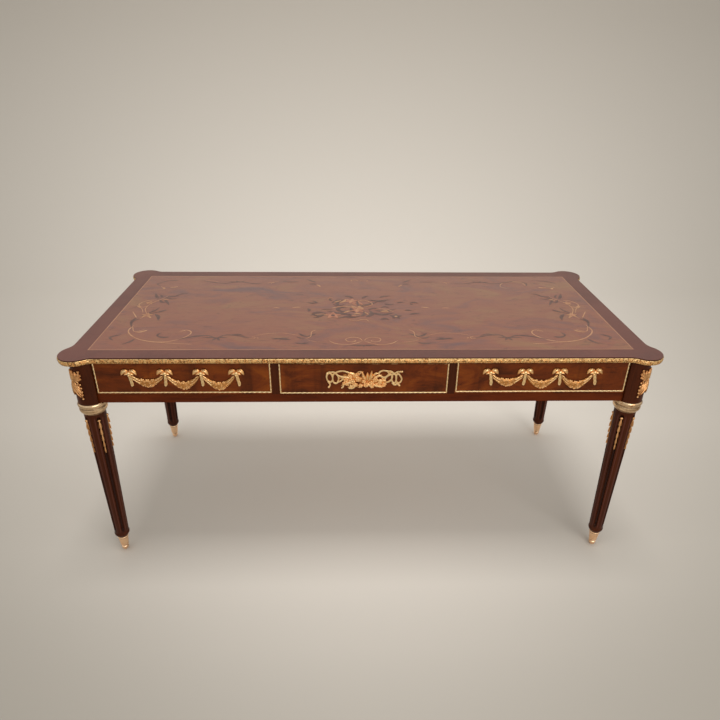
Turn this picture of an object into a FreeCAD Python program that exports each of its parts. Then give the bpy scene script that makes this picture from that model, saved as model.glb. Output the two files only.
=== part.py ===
import FreeCAD, Part
import math
import os
import re

import Sketcher
from FreeCAD import Placement, Rotation, Vector

# Flat-topped writing table of the Louis XVI kind: veneered top with ears at its corners,
# a frieze of three drawers, and four turned and fluted legs with gilt mounts.
# X runs to the right, Y to the back and Z up. The drawers face -Y.
# The origin is on the floor, under the middle of the top.

doc = FreeCAD.newDocument("writing_table")
sheet = doc.addObject("Spreadsheet::Sheet", "Sizes")

# Driving sizes in millimetres, and two counts: alias, value, meaning
SIZES = (
    ("table_height", 770, "floor to writing surface"),
    ("top_length", 1740, "top, straight end to straight end"),
    ("top_depth", 766, "top, straight front to straight back"),
    ("top_thickness", 20, "board with its veneer"),
    ("veneer_thickness", 1, "crossband, stringing and field"),
    ("lip_height", 4, "wood that shows above the edge moulding"),
    ("ear_radius", 51, "round ear of the top over each leg"),
    ("ear_inset_long", 28, "straight end of the top to ear centre"),
    ("ear_inset_deep", 32, "straight front of the top to ear centre"),
    ("ear_hollow_radius", 45, "hollow curve from ear to straight edge"),
    ("edge_rebate", 6, "how far the moulding is let into the board"),
    ("moulding_proud", 2, "how far the moulding stands out past the lip"),
    ("moulding_height", 15, "edge moulding, top to bottom"),
    ("moulding_fillet_height", 3, "flat fillet at the top of the moulding"),
    ("moulding_toe", 3, "how far the moulding draws in at its foot"),
    ("moulding_round", 13, "radius of the rounded face of the moulding"),
    ("crossband_width", 52.5, "edge to stringing"),
    ("stringing_width", 3, "light line between crossband and field"),
    ("leg_inset_long", 41, "straight end of the top to leg centre"),
    ("leg_inset_deep", 37.5, "straight front of the top to leg centre"),
    ("apron_height", 140, "frieze, top to bottom"),
    ("apron_setout", 20, "frieze face outside the leg centre line"),
    ("apron_thickness", 20, "side and back aprons"),
    ("post_radius", 40, "round post at the head of each leg"),
    ("post_flat", 29, "leg centre to the flats that rails and aprons butt against"),
    ("collar_height", 37, "ring collar under each post"),
    ("collar_lip_height", 1.5, "lower lip of the collar"),
    ("collar_lip_radius", 34.5, "lower lip of the collar"),
    ("collar_cushion_height", 18.5, "swelling band of the collar"),
    ("collar_cushion_round", 15, "section of the swelling band"),
    ("collar_body_radius", 39.8, "collar under its roll and bead"),
    ("collar_bead_height", 3, "fine bead of the collar"),
    ("collar_bead_round", 2.2, "radius of the fine bead"),
    ("collar_roll_round", 9, "radius of the large roll"),
    ("neck_radius", 30, "leg inside the collar"),
    ("collar_fit", 0.3, "clearance of collar on neck"),
    ("shaft_head_radius", 32.5, "tapered leg under the collar"),
    ("shaft_foot_radius", 23, "tapered leg at its foot rim"),
    ("foot_rim_height", 12, "rounded wooden rim at the foot"),
    ("foot_rim_round", 14, "radius of the foot rim's section"),
    ("foot_taper_height", 10, "wood below the rim"),
    ("foot_end_radius", 17, "wood where it sits on the sabot"),
    ("tenon_radius", 9, "round tenon into the sabot"),
    ("tenon_length", 20, "round tenon into the sabot"),
    ("tenon_fit", 0.3, "clearance of the tenon"),
    ("flute_count", 5, "flutes round each leg"),
    ("flute_radius", 5.5, "round section of a flute"),
    ("flute_head_gap", 11, "collar to top of flute"),
    ("flute_foot_gap", 14, "foot rim to bottom of flute"),
    ("husk_fit", 0.4, "clearance of the husk drop in its flute"),
    ("husk_head_gap", 9, "top of flute to top of husk drop"),
    ("husk_bead_radius", 4.6, "round bead at the head of a husk drop"),
    ("husk_length", 25.5, "longest husk of the drop"),
    ("husk_shortening", 1, "each husk is this much shorter"),
    ("husk_neck_radius", 1.6, "stem between husks"),
    ("husk_count", 5, "husks in a drop"),
    ("sabot_height", 64, "floor to wood"),
    ("sabot_toe_radius", 4, "flat spot on the floor"),
    ("sabot_ball_height", 13, "pointed toe"),
    ("sabot_ball_radius", 11.5, "pointed toe"),
    ("sabot_ball_round", 20, "section of the pointed toe"),
    ("sabot_shoulder_height", 3, "toe to groove, and groove to cup"),
    ("sabot_groove_radius", 8.5, "groove above the toe"),
    ("sabot_groove_height", 2.5, "groove above the toe"),
    ("sabot_cup_foot_radius", 13, "cup at its foot"),
    ("sabot_cup_head_radius", 16.5, "cup under its ring"),
    ("sabot_ring_radius", 17.5, "thin ring at the head of the sabot"),
    ("sabot_ring_height", 6, "thin ring at the head of the sabot"),
    ("corner_mount_height", 102, "leaf drop on a post"),
    ("corner_mount_width", 44, "leaf drop on a post"),
    ("corner_mount_drop", 20, "top of post to top of leaf drop"),
    ("corner_mount_relief", 3.5, "broad leaf above the post"),
    ("corner_rib_relief", 7, "rib and rosette above the post"),
    ("corner_rib_width", 12, "rib of the leaf drop"),
    ("mount_seat", 0.3, "clearance behind the corner mounts"),
    ("lower_rail_height", 27, "rail under the drawers"),
    ("front_frame_depth", 60, "lower rail and drawer posts, front to back"),
    ("upper_rail_height", 20, "rail above the drawer boxes"),
    ("stile_width", 19.5, "upright between two drawers"),
    ("centre_opening", 512, "between the two uprights"),
    ("runner_width", 20, "strip a drawer side runs on"),
    ("runner_height", 20, "strip a drawer side runs on"),
    ("guide_height", 20, "guide beside the outer drawer sides"),
    ("kicker_width", 30, "strip over the middle of a drawer"),
    ("kicker_height", 22, "strip over the middle of a drawer"),
    ("front_gap", 1, "gap round a drawer front"),
    ("front_head_gap", 2, "gap over a drawer front"),
    ("front_thickness", 20, "drawer front"),
    ("slide_clearance", 0.3, "drawer side above its runner"),
    ("side_clearance", 1.5, "drawer side to partition or guide"),
    ("kicker_clearance", 2, "drawer sides below the kicker"),
    ("back_drop", 6, "drawer back below the drawer sides"),
    ("box_length", 460, "drawer box behind its front"),
    ("side_thickness", 12, "drawer side"),
    ("back_thickness", 12, "drawer back"),
    ("bottom_thickness", 6, "drawer bottom"),
    ("bottom_rise", 8, "drawer bottom above the foot of the side"),
    ("groove_depth", 5, "groove that holds the bottom"),
    ("groove_fit", 0.2, "clearance of the bottom in its groove"),
    ("frame_margin", 1, "gilt frame in from the edge of the front"),
    ("frame_width", 5, "gilt frame, seen from the front"),
    ("frame_relief", 3, "gilt frame, proud of the wood"),
    ("frame_edge_round", 1.2, "rounded edges of the gilt frame"),
    ("frame_height", 104, "gilt frame, top to bottom"),
    ("frame_rise_side", 4.5, "foot of a side drawer front to its frame"),
    ("frame_rise_centre", 1.5, "foot of the centre front to its frame"),
    ("mount_relief", 3, "plate of a drawer mount"),
    ("mount_drop", 3, "middle of a drawer front to middle of its mount"),
    ("mount_boss_radius", 7, "flower of a drawer mount"),
    ("swag_span", 318, "outer bows of the swag mount"),
    ("swag_bow_rise", 18, "knots above the middle of the mount"),
    ("swag_sag", 38, "fall of a swag below its ends"),
    ("swag_fat", 26, "thickness of a swag at its lowest point"),
    ("bow_loop_length", 25, "half width of a ribbon bow"),
    ("bow_loop_width", 15, "height of a bow's loop"),
    ("bow_knot_radius", 5, "knot of a ribbon bow"),
    ("bow_tail_length", 42, "ribbon that hangs from a knot"),
    ("bow_tail_width", 9, "ribbon that hangs from a knot"),
    ("centre_mount_length", 226, "ribbon and flower mount"),
    ("centre_mount_height", 64, "ribbon and flower mount"),
    ("centre_bouquet_length", 122, "flowers in the middle of the mount"),
    ("centre_bouquet_height", 48, "flowers in the middle of the mount"),
    ("ribbon_width", 4.5, "band of the pierced ribbon loops"),
    ("screw_head_radius", 5, "screws that hold the top"),
    ("screw_head_height", 3, "screws that hold the top"),
    ("screw_radius", 2.5, "screws that hold the top"),
    ("screw_bite", 9, "screw into the top board"),
    ("screw_fit", 0.2, "clearance round a screw"),
    ("cut_overrun", 5, "how far a cut runs past the wood"),
)

ALIASES = set()
for row, (alias, number, meaning) in enumerate(SIZES, start=1):
    sheet.set(f"A{row}", meaning)
    sheet.set(f"B{row}", str(number))
    sheet.setAlias(f"B{row}", alias)
    ALIASES.add(alias)
doc.recompute()

WORD = re.compile(r"[a-z][a-z_]*")


def sheet_text(text):
    """An expression with each size's name pointing at the sheet"""
    return WORD.sub(lambda found: f"Sizes.{found[0]}" if found[0] in ALIASES else found[0], str(text))


def size(text):
    """The number that an expression gives now"""
    return float(sheet.evalExpression(sheet_text(text)))


def bind(item, slot, text):
    """Ties one property of an object to an expression on the sheet"""
    item.setExpression(slot, sheet_text(text))


# Places, heights and planes that several pieces share
LEG_ACROSS = "(top_length / 2 - leg_inset_long)"
LEG_DEEP = "(top_depth / 2 - leg_inset_deep)"
EAR_ACROSS = "(top_length / 2 - ear_inset_long)"
EAR_DEEP = "(top_depth / 2 - ear_inset_deep)"
APRON_TOP = "(table_height - top_thickness)"
APRON_FOOT = f"({APRON_TOP} - apron_height)"
SHAFT_HEAD = f"({APRON_FOOT} - collar_height)"
SHAFT_FOOT = "(sabot_height + foot_taper_height + foot_rim_height)"
FACE_FRONT = f"({LEG_DEEP} + apron_setout)"
FACE_SIDE = f"({LEG_ACROSS} + apron_setout)"
POST_INNER_LONG = f"({LEG_ACROSS} - post_flat)"
POST_INNER_DEEP = f"({LEG_DEEP} - post_flat)"
RAIL_TOP = f"({APRON_FOOT} + lower_rail_height)"
PARTITION_INNER = "(centre_opening / 2)"
PARTITION_OUTER = f"({PARTITION_INNER} + stile_width)"
FRAME_BACK = f"({FACE_FRONT} - front_frame_depth)"
BACK_INNER = f"({FACE_FRONT} - apron_thickness)"
BOX_FRONT = f"({FACE_FRONT} - front_thickness)"
BOX_FOOT = f"({RAIL_TOP} + slide_clearance)"
BOX_TOP = f"({APRON_TOP} - kicker_height - kicker_clearance)"
FRONT_FOOT = f"({RAIL_TOP} + front_gap)"
FRONT_TOP = f"({APRON_TOP} - front_head_gap)"

NODES = []


def node(item, label):
    """Names an object as a piece that gets a file of its own"""
    item.Label = label
    NODES.append(item)
    return item


# Ways of making pieces
def board(name, across, deep, up):
    """A squared board between three pairs of expressions"""
    box = doc.addObject("Part::Box", name)
    for side, place, (low, high) in zip(("Length", "Width", "Height"), "xyz", (across, deep, up)):
        bind(box, side, f"({high}) - ({low})")
        bind(box, f"Placement.Base.{place}", low)
    return box


def cut(name, base, tool):
    """One solid with another taken away from it"""
    result = doc.addObject("Part::Cut", name)
    result.Base = base
    result.Tool = tool
    return result


def group(name, members):
    """Separate solids that share one node"""
    result = doc.addObject("Part::Compound", name)
    result.Links = members
    return result


def new_body(name, across="0", deep="0", turn=0):
    """A body set on the floor plan, turned about the vertical by some degrees"""
    body = doc.addObject("PartDesign::Body", name)
    body.Placement = Placement(Vector(), Rotation(Vector(0, 0, 1), turn))
    bind(body, "Placement.Base.x", across)
    bind(body, "Placement.Base.y", deep)
    return body


def new_sketch(body, role, offset=None, turn=0):
    """A sketch on one of the body's own planes"""
    sketch = body.newObject("Sketcher::SketchObject", "Outline")
    plane = next(feature for feature in body.Origin.OriginFeatures if feature.Role == role)
    sketch.AttachmentSupport = [(plane, "")]
    sketch.MapMode = "FlatFace"
    if turn:
        sketch.AttachmentOffset = Placement(Vector(), Rotation(Vector(0, 1, 0), turn))
    if offset:
        bind(sketch, "AttachmentOffset.Base.z", offset)
    return sketch


def pin(sketch, geometry, end, across=None, up=None):
    """Holds a point of a sketch at two expressions"""
    for kind, axis, text in (("DistanceX", -2, across), ("DistanceY", -1, up)):
        if text == "0":
            sketch.addConstraint(Sketcher.Constraint("PointOnObject", geometry, end, axis))
        elif text is not None:
            rule = Sketcher.Constraint(kind, -1, 1, geometry, end, size(text))
            bind(sketch, f"Constraints[{sketch.addConstraint(rule)}]", text)


def pin_radius(sketch, geometry, text):
    """Holds the radius of an arc at an expression"""
    rule = Sketcher.Constraint("Radius", geometry, size(text))
    bind(sketch, f"Constraints[{sketch.addConstraint(rule)}]", text)


def arc_between(start, end, radius, bulge):
    """The short arc from start to end that bulges to the right (1) or left (-1) of its way"""
    chord = end - start
    middle = (start + end) / 2
    rise = math.sqrt(max(radius ** 2 - (chord.Length / 2) ** 2, 0))
    left = Vector(-chord.y, chord.x, 0).normalize()
    centre = middle + left * rise * bulge
    first, last = (start, end) if bulge > 0 else (end, start)
    angles = [math.atan2(p.y - centre.y, p.x - centre.x) for p in (first, last)]
    return Part.ArcOfCircle(Part.Circle(centre, Vector(0, 0, 1), radius), *angles)


def outline(sketch, steps):
    """A closed outline of lines, and of arcs where a step has a radius and a bulge"""
    points = [Vector(size(step[0]), size(step[1]), 0) for step in steps]
    first = sketch.GeometryCount
    starts = []
    for k, step in enumerate(steps):
        begin, end = points[k], points[(k + 1) % len(points)]
        if len(step) > 2:
            radius, bulge = step[2], step[3]
            sketch.addGeometry(arc_between(begin, end, size(radius), bulge), False)
            pin_radius(sketch, first + k, radius)
            starts.append(1 if bulge > 0 else 2)
        else:
            sketch.addGeometry(Part.LineSegment(begin, end), False)
            starts.append(1)
    for k, step in enumerate(steps):
        after = (k + 1) % len(steps)
        rule = Sketcher.Constraint("Coincident", first + k, 3 - starts[k], first + after, starts[after])
        sketch.addConstraint(rule)
        pin(sketch, first + k, starts[k], step[0], step[1])


def rectangle(sketch, across, up):
    """A rectangle between two pairs of expressions"""
    outline(sketch, [(across[0], up[0]), (across[1], up[0]), (across[1], up[1]), (across[0], up[1])])


def feature(body, kind, profile, **settings):
    """A feature of a body on a profile; text settings are bound as expressions"""
    item = body.newObject(f"PartDesign::{kind}", kind)
    item.Profile = profile
    for slot, value in settings.items():
        if isinstance(value, str):
            bind(item, slot, value)
        else:
            setattr(item, slot, value)
    return item


def turned(body, steps, role="XZ_Plane"):
    """A solid turned about the body's vertical axis"""
    sketch = new_sketch(body, role)
    outline(sketch, steps)
    solid = feature(body, "Revolution", sketch, Angle=360)
    solid.ReferenceAxis = (sketch, ["V_Axis"])
    return solid


# The plan of the top: straight edges, hollow curves and round ears
def hollow_reach(inset):
    """Ear centre to the end of the straight edge, along that edge"""
    return f"sqrt((ear_radius + ear_hollow_radius) ^ 2 - ({inset} + ear_hollow_radius) ^ 2)"


STRAIGHT_LONG = f"({EAR_ACROSS} - {hollow_reach('ear_inset_deep')})"
STRAIGHT_DEEP = f"({EAR_DEEP} - {hollow_reach('ear_inset_long')})"


def ear_arcs(side, end, grow):
    """The three arcs round one ear, in order, turning left: front hollow, ear, end hollow"""
    ear = size("ear_radius") + grow
    hollow = size("ear_hollow_radius") - grow
    centre = Vector(side * size(EAR_ACROSS), end * size(EAR_DEEP), 0)
    along = Vector(side * size(STRAIGHT_LONG), end * size("top_depth / 2 + ear_hollow_radius"), 0)
    beyond = Vector(side * size("top_length / 2 + ear_hollow_radius"), end * size(STRAIGHT_DEEP), 0)
    up = Vector(0, 0, 1)

    def angle(origin, target):
        return math.atan2(target.y - origin.y, target.x - origin.x)

    middle = [angle(centre, along), angle(centre, beyond)]
    at_front = [angle(along, along - Vector(0, end, 0)), angle(along, centre)]
    at_end = [angle(beyond, centre), angle(beyond, beyond - Vector(side, 0, 0))]
    arcs = []
    for origin, radius, span in ((along, hollow, at_front), (centre, ear, middle), (beyond, hollow, at_end)):
        inward = origin is not centre
        flipped = (side * end > 0) != inward
        first, last = reversed(span) if flipped else span
        arcs.append(Part.ArcOfCircle(Part.Circle(origin, up, radius), first, last))
    return arcs


def joint_end(arc, target):
    """Which end of an arc or line lies at a point"""
    return 1 if (arc.StartPoint - target).Length < (arc.EndPoint - target).Length else 2


def smooth_chain(sketch, curves, closed):
    """Adds curves end to end, each tangent to the next, and gives their places in the sketch"""
    first = sketch.GeometryCount
    places = [first + k for k in range(len(curves))]
    for curve in curves:
        sketch.addGeometry(curve, False)
    pairs = list(zip(places, places[1:]))
    if closed:
        pairs.append((places[-1], places[0]))
    for before, after in pairs:
        one, two = curves[before - first], curves[after - first]
        gap, where = min(((a - b).Length, a) for a in (one.StartPoint, one.EndPoint)
                         for b in (two.StartPoint, two.EndPoint))
        ends = (joint_end(one, where), joint_end(two, where))
        sketch.addConstraint(Sketcher.Constraint("Tangent", before, ends[0], after, ends[1]))
    return places


def hold_ear(sketch, places, side, end, grow):
    """Pins the radii of an ear's arcs and the centre of the ear"""
    for place, text in zip(places, ("ear_hollow_radius", "ear_radius", "ear_hollow_radius")):
        sign = "+" if text == "ear_radius" else "-"
        pin_radius(sketch, place, f"{text} {sign} ({grow})")
    pin(sketch, places[1], 3, f"{side} * {EAR_ACROSS}", f"{end} * {EAR_DEEP}")


def top_plan(sketch, grow="0"):
    """The whole plan of the top, grown outwards by an expression"""
    more = size(grow)
    front, right = size("top_depth / 2") + more, size("top_length / 2") + more
    long, deep = size(STRAIGHT_LONG), size(STRAIGHT_DEEP)
    curves = [
        Part.LineSegment(Vector(-long, -front, 0), Vector(long, -front, 0)),
        *ear_arcs(1, -1, more),
        Part.LineSegment(Vector(right, -deep, 0), Vector(right, deep, 0)),
        *reversed(ear_arcs(1, 1, more)),
        Part.LineSegment(Vector(long, front, 0), Vector(-long, front, 0)),
        *ear_arcs(-1, 1, more),
        Part.LineSegment(Vector(-right, deep, 0), Vector(-right, -deep, 0)),
        *reversed(ear_arcs(-1, -1, more)),
    ]
    places = smooth_chain(sketch, curves, True)
    for k, kind in ((0, "Horizontal"), (4, "Vertical"), (8, "Horizontal"), (12, "Vertical")):
        sketch.addConstraint(Sketcher.Constraint(kind, places[k]))
    pin(sketch, places[0], 1, None, f"-(top_depth / 2 + ({grow}))")
    pin(sketch, places[4], 1, f"top_length / 2 + ({grow})", None)
    pin(sketch, places[8], 1, None, f"top_depth / 2 + ({grow})")
    pin(sketch, places[12], 1, f"-(top_length / 2 + ({grow}))", None)
    hold_ear(sketch, places[1:4], 1, -1, grow)
    hold_ear(sketch, places[7:4:-1], 1, 1, grow)
    hold_ear(sketch, places[9:12], -1, 1, grow)
    hold_ear(sketch, places[15:12:-1], -1, -1, grow)


# Top board, its veneers and its edge moulding
def screw_hole(name, across, deep, radius, low, high):
    """A round hole or shank standing on the plan"""
    hole = doc.addObject("Part::Cylinder", name)
    bind(hole, "Radius", radius)
    bind(hole, "Height", f"({high}) - ({low})")
    bind(hole, "Placement.Base.x", across)
    bind(hole, "Placement.Base.y", deep)
    bind(hole, "Placement.Base.z", low)
    return hole


def screw_places():
    """Plan places of the screws that hold the top, and the foot of what each goes through"""
    drawer_middle = f"({PARTITION_OUTER} + {POST_INNER_LONG}) / 2"
    for across in (f"-{drawer_middle}", "0", drawer_middle):
        yield across, f"-({FACE_FRONT} - front_thickness / 2 - front_frame_depth / 2)", "upper_rail_height"
        yield across, f"{BACK_INNER} - 2 * kicker_width", "kicker_height"


def fuse_all(name, members):
    """Several solids joined to one tool"""
    result = doc.addObject("Part::MultiFuse", name)
    result.Shapes = members
    return result


def make_top():
    body = new_body("TopBoardBody")
    lower = new_sketch(body, "XY_Plane", APRON_TOP)
    top_plan(lower, "-edge_rebate")
    feature(body, "Pad", lower, Length="top_thickness - lip_height")
    upper = new_sketch(body, "XY_Plane", "table_height - lip_height")
    top_plan(upper)
    feature(body, "Pad", upper, Length="lip_height - veneer_thickness")
    depth = (f"{APRON_TOP} - cut_overrun", f"{APRON_TOP} + screw_bite + screw_fit")
    holes = [screw_hole(f"TopHole{k}", across, deep, "screw_radius + screw_fit", *depth)
             for k, (across, deep, _) in enumerate(screw_places())]
    node(cut("TopBoard", body, fuse_all("TopHoles", holes)), "top_board")

    level = "table_height - veneer_thickness"
    inner_long, inner_deep = "top_length / 2 - crossband_width", "top_depth / 2 - crossband_width"
    body = new_body("CrossbandBody")
    sketch = new_sketch(body, "XY_Plane", level)
    top_plan(sketch)
    rectangle(sketch, (f"-({inner_long})", inner_long), (f"-({inner_deep})", inner_deep))
    feature(body, "Pad", sketch, Length="veneer_thickness")
    node(body, "top_crossband")

    field_long, field_deep = f"{inner_long} - stringing_width", f"{inner_deep} - stringing_width"
    body = new_body("StringingBody")
    sketch = new_sketch(body, "XY_Plane", level)
    rectangle(sketch, (f"-({inner_long})", inner_long), (f"-({inner_deep})", inner_deep))
    rectangle(sketch, (f"-({field_long})", field_long), (f"-({field_deep})", field_deep))
    feature(body, "Pad", sketch, Length="veneer_thickness")
    node(body, "top_stringing")

    field = board("Field", (f"-({field_long})", field_long), (f"-({field_deep})", field_deep),
                  (level, "table_height"))
    node(field, "top_field_veneer")


def moulding_section(sketch, edge, sign):
    """Section of the edge moulding: flat fillet over a rounded face that draws in below"""
    foot = "table_height - lip_height - moulding_height"
    head = "table_height - lip_height"
    back, face = f"{sign} * ({edge} - edge_rebate)", f"{sign} * ({edge} + moulding_proud)"
    toe = f"{sign} * ({edge} + moulding_proud - moulding_toe)"
    outline(sketch, [
        (back, foot),
        (toe, foot, "moulding_round", sign),
        (face, f"{head} - moulding_fillet_height"),
        (face, head),
        (back, head),
    ])


def make_edge_moulding():
    for name, sign in (("front", -1), ("back", 1)):
        body = new_body(f"Moulding{name}")
        sketch = new_sketch(body, "YZ_Plane")
        moulding_section(sketch, "top_depth / 2", sign)
        feature(body, "Pad", sketch, Length=f"2 * {STRAIGHT_LONG}", Midplane=True)
        node(body, f"edge_moulding_{name}")
    for name, side in (("left", -1), ("right", 1)):
        body = new_body(f"Moulding{name}")
        path = new_sketch(body, "XY_Plane")
        right, deep = side * size("top_length / 2"), size(STRAIGHT_DEEP)
        curves = [
            *ear_arcs(side, -1, 0),
            Part.LineSegment(Vector(right, -deep, 0), Vector(right, deep, 0)),
            *reversed(ear_arcs(side, 1, 0)),
        ]
        places = smooth_chain(path, curves, False)
        path.addConstraint(Sketcher.Constraint("Vertical", places[3]))
        pin(path, places[3], 1, f"{side} * top_length / 2", None)
        hold_ear(path, places[0:3], side, -1, "0")
        hold_ear(path, places[6:3:-1], side, 1, "0")
        for place, end in ((places[0], -1), (places[6], 1)):
            start = Vector(side * size(STRAIGHT_LONG), end * size("top_depth / 2"), 0)
            tip = joint_end(curves[place - places[0]], start)
            path.addConstraint(Sketcher.Constraint("Vertical", place, tip, place, 3))
            pin(path, place, tip, None, f"{end} * top_depth / 2")
        section = new_sketch(body, "YZ_Plane", f"{side} * {STRAIGHT_LONG}")
        moulding_section(section, "top_depth / 2", -1)
        pipe = feature(body, "AdditivePipe", section)
        pipe.Spine = (path, [f"Edge{k}" for k in range(1, len(curves) + 1)])
        node(body, f"edge_moulding_{name}_end")


# Legs with their collars, husk drops, sabots and corner mounts
def shaft_radius(height):
    """Radius of the tapered shaft at a height"""
    rise = f"(({height}) - {SHAFT_FOOT}) / ({SHAFT_HEAD} - {SHAFT_FOOT})"
    return f"shaft_foot_radius + (shaft_head_radius - shaft_foot_radius) * {rise}"


FLUTE_HIGH = f"({SHAFT_HEAD} - flute_head_gap - flute_radius)"
FLUTE_LOW = f"({SHAFT_FOOT} + flute_foot_gap + flute_radius)"
# The first flute looks into the table: this many degrees for a back leg, the opposite for a front one
FIRST_FLUTE = -90


def cut_flutes(body, turn):
    """Round-ended flutes that follow the taper"""
    sketch = new_sketch(body, "XZ_Plane", turn=turn)
    high = Vector(size(shaft_radius(FLUTE_HIGH)), size(FLUTE_HIGH), 0)
    low = Vector(size(shaft_radius(FLUTE_LOW)), size(FLUTE_LOW), 0)
    radius = size("flute_radius")
    along = (high - low).normalize()
    out = Vector(along.y, -along.x, 0)
    slope = math.atan2(along.y, along.x)
    up = Vector(0, 0, 1)
    axis = sketch.addGeometry(Part.LineSegment(low, high), True)
    above = Part.ArcOfCircle(Part.Circle(high, up, radius), slope - math.pi / 2, slope)
    top = sketch.addGeometry(above, False)
    below = Part.ArcOfCircle(Part.Circle(low, up, radius), slope - math.pi, slope - math.pi / 2)
    foot = sketch.addGeometry(below, False)
    side = sketch.addGeometry(Part.LineSegment(low + out * radius, high + out * radius), False)
    core = sketch.addGeometry(Part.LineSegment(high + along * radius, low - along * radius), False)
    pin(sketch, axis, 1, shaft_radius(FLUTE_LOW), FLUTE_LOW)
    pin(sketch, axis, 2, shaft_radius(FLUTE_HIGH), FLUTE_HIGH)
    for arc, end in ((top, 2), (foot, 1)):
        sketch.addConstraint(Sketcher.Constraint("Coincident", arc, 3, axis, end))
        pin_radius(sketch, arc, "flute_radius")
    sketch.addConstraint(Sketcher.Constraint("Tangent", side, 2, top, 1))
    sketch.addConstraint(Sketcher.Constraint("Tangent", side, 1, foot, 2))
    sketch.addConstraint(Sketcher.Constraint("Coincident", core, 1, top, 2))
    sketch.addConstraint(Sketcher.Constraint("Coincident", core, 2, foot, 1))
    sketch.addConstraint(Sketcher.Constraint("PointOnObject", core, 1, axis))
    sketch.addConstraint(Sketcher.Constraint("PointOnObject", core, 2, axis))
    groove = feature(body, "Groove", sketch, Angle=360)
    groove.ReferenceAxis = (sketch, ["Axis0"])
    return groove


def round_about(body, original, turning_sketch):
    """Repeats a feature round the vertical axis, once for each flute"""
    pattern = body.newObject("PartDesign::PolarPattern", "Round")
    pattern.Originals = [original]
    pattern.Axis = (turning_sketch, ["V_Axis"])
    pattern.Angle = 360
    bind(pattern, "Occurrences", "flute_count")
    body.Tip = pattern


def make_leg(corner, side, end):
    place = (f"{side} * {LEG_ACROSS}", f"{end} * {LEG_DEEP}")
    body = new_body(f"Leg{corner}", *place)
    tenon_foot = "sabot_height - tenon_length"
    wood = turned(body, [
        ("0", tenon_foot),
        ("tenon_radius", tenon_foot),
        ("tenon_radius", "sabot_height"),
        ("foot_end_radius", "sabot_height"),
        ("shaft_foot_radius", "sabot_height + foot_taper_height", "foot_rim_round", 1),
        ("shaft_foot_radius", SHAFT_FOOT),
        ("shaft_head_radius", SHAFT_HEAD),
        ("neck_radius", SHAFT_HEAD),
        ("neck_radius", APRON_FOOT),
        ("post_radius", APRON_FOOT),
        ("post_radius", APRON_TOP),
        ("0", APRON_TOP),
    ])
    flats = new_sketch(body, "XY_Plane", APRON_FOOT)
    inner_x, inner_y = f"{-side} * post_flat", f"{-end} * post_flat"
    near_x, near_y = f"{side} * (post_radius + cut_overrun)", f"{end} * (post_radius + cut_overrun)"
    far_x, far_y = f"{-side} * (post_radius + cut_overrun)", f"{-end} * (post_radius + cut_overrun)"
    outline(flats, [(inner_x, near_y), (inner_x, inner_y), (near_x, inner_y),
                    (near_x, far_y), (far_x, far_y), (far_x, near_y)])
    feature(body, "Pocket", flats, Length="apron_height", Reversed=True)
    round_about(body, cut_flutes(body, FIRST_FLUTE * end), wood.Profile[0])
    node(body, f"leg_{corner}")


def make_collar(corner, side, end):
    body = new_body(f"Collar{corner}", f"{side} * {LEG_ACROSS}", f"{end} * {LEG_DEEP}")
    bore = "neck_radius + collar_fit"
    lip_top = f"{SHAFT_HEAD} + collar_lip_height"
    cushion_top = f"{lip_top} + collar_cushion_height"
    bead_top = f"{cushion_top} + collar_bead_height"
    turned(body, [
        (bore, SHAFT_HEAD),
        ("collar_lip_radius", SHAFT_HEAD),
        ("collar_lip_radius", lip_top, "collar_cushion_round", 1),
        ("collar_body_radius", cushion_top, "collar_bead_round", 1),
        ("collar_body_radius", bead_top, "collar_roll_round", 1),
        ("collar_body_radius", APRON_FOOT),
        (bore, APRON_FOOT),
    ])
    node(body, f"leg_collar_{corner}")


def make_husks(corner, side, end):
    """A drop of husks under a bead in every flute"""
    body = new_body(f"Husks{corner}", f"{side} * {LEG_ACROSS}", f"{end} * {LEG_DEEP}")
    body.AllowCompound = True
    head = f"({FLUTE_HIGH} + flute_radius - husk_head_gap)"
    widest = "(flute_radius - husk_fit)"

    def on_axis(height, out="0"):
        return f"{shaft_radius(height)} + {out}", height

    bead_foot = f"({head} - 2 * sqrt(husk_bead_radius ^ 2 - husk_neck_radius ^ 2))"
    steps = [
        on_axis(head),
        (*on_axis(head, "husk_neck_radius"), "husk_bead_radius", -1),
        on_axis(bead_foot, "husk_neck_radius"),
    ]
    top = bead_foot
    count = int(size("husk_count"))
    for k in range(count):
        length = f"(husk_length - {k} * husk_shortening)"
        foot = f"({top} - {length})"
        wide = f"{widest} * (1 - {k} / (2 * husk_count))"
        steps.append((*on_axis(f"({top} - {length} / 4)", "husk_neck_radius"), "husk_length", -1))
        steps.append(on_axis(f"({foot} + {length} / 6)", wide))
        steps.append(on_axis(foot, "husk_neck_radius"))
        top = foot
    steps.append(on_axis(top))
    sketch = new_sketch(body, "XZ_Plane", turn=FIRST_FLUTE * end)
    axis = sketch.addGeometry(Part.LineSegment(*(Vector(size(x), size(y), 0)
                                                 for x, y in (on_axis(top), on_axis(head)))), True)
    pin(sketch, axis, 1, *on_axis(top))
    pin(sketch, axis, 2, *on_axis(head))
    outline(sketch, steps)
    drop = feature(body, "Revolution", sketch, Angle=360)
    drop.ReferenceAxis = (sketch, ["Axis0"])
    round_about(body, drop, sketch)
    node(body, f"leg_husks_{corner}")


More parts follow.
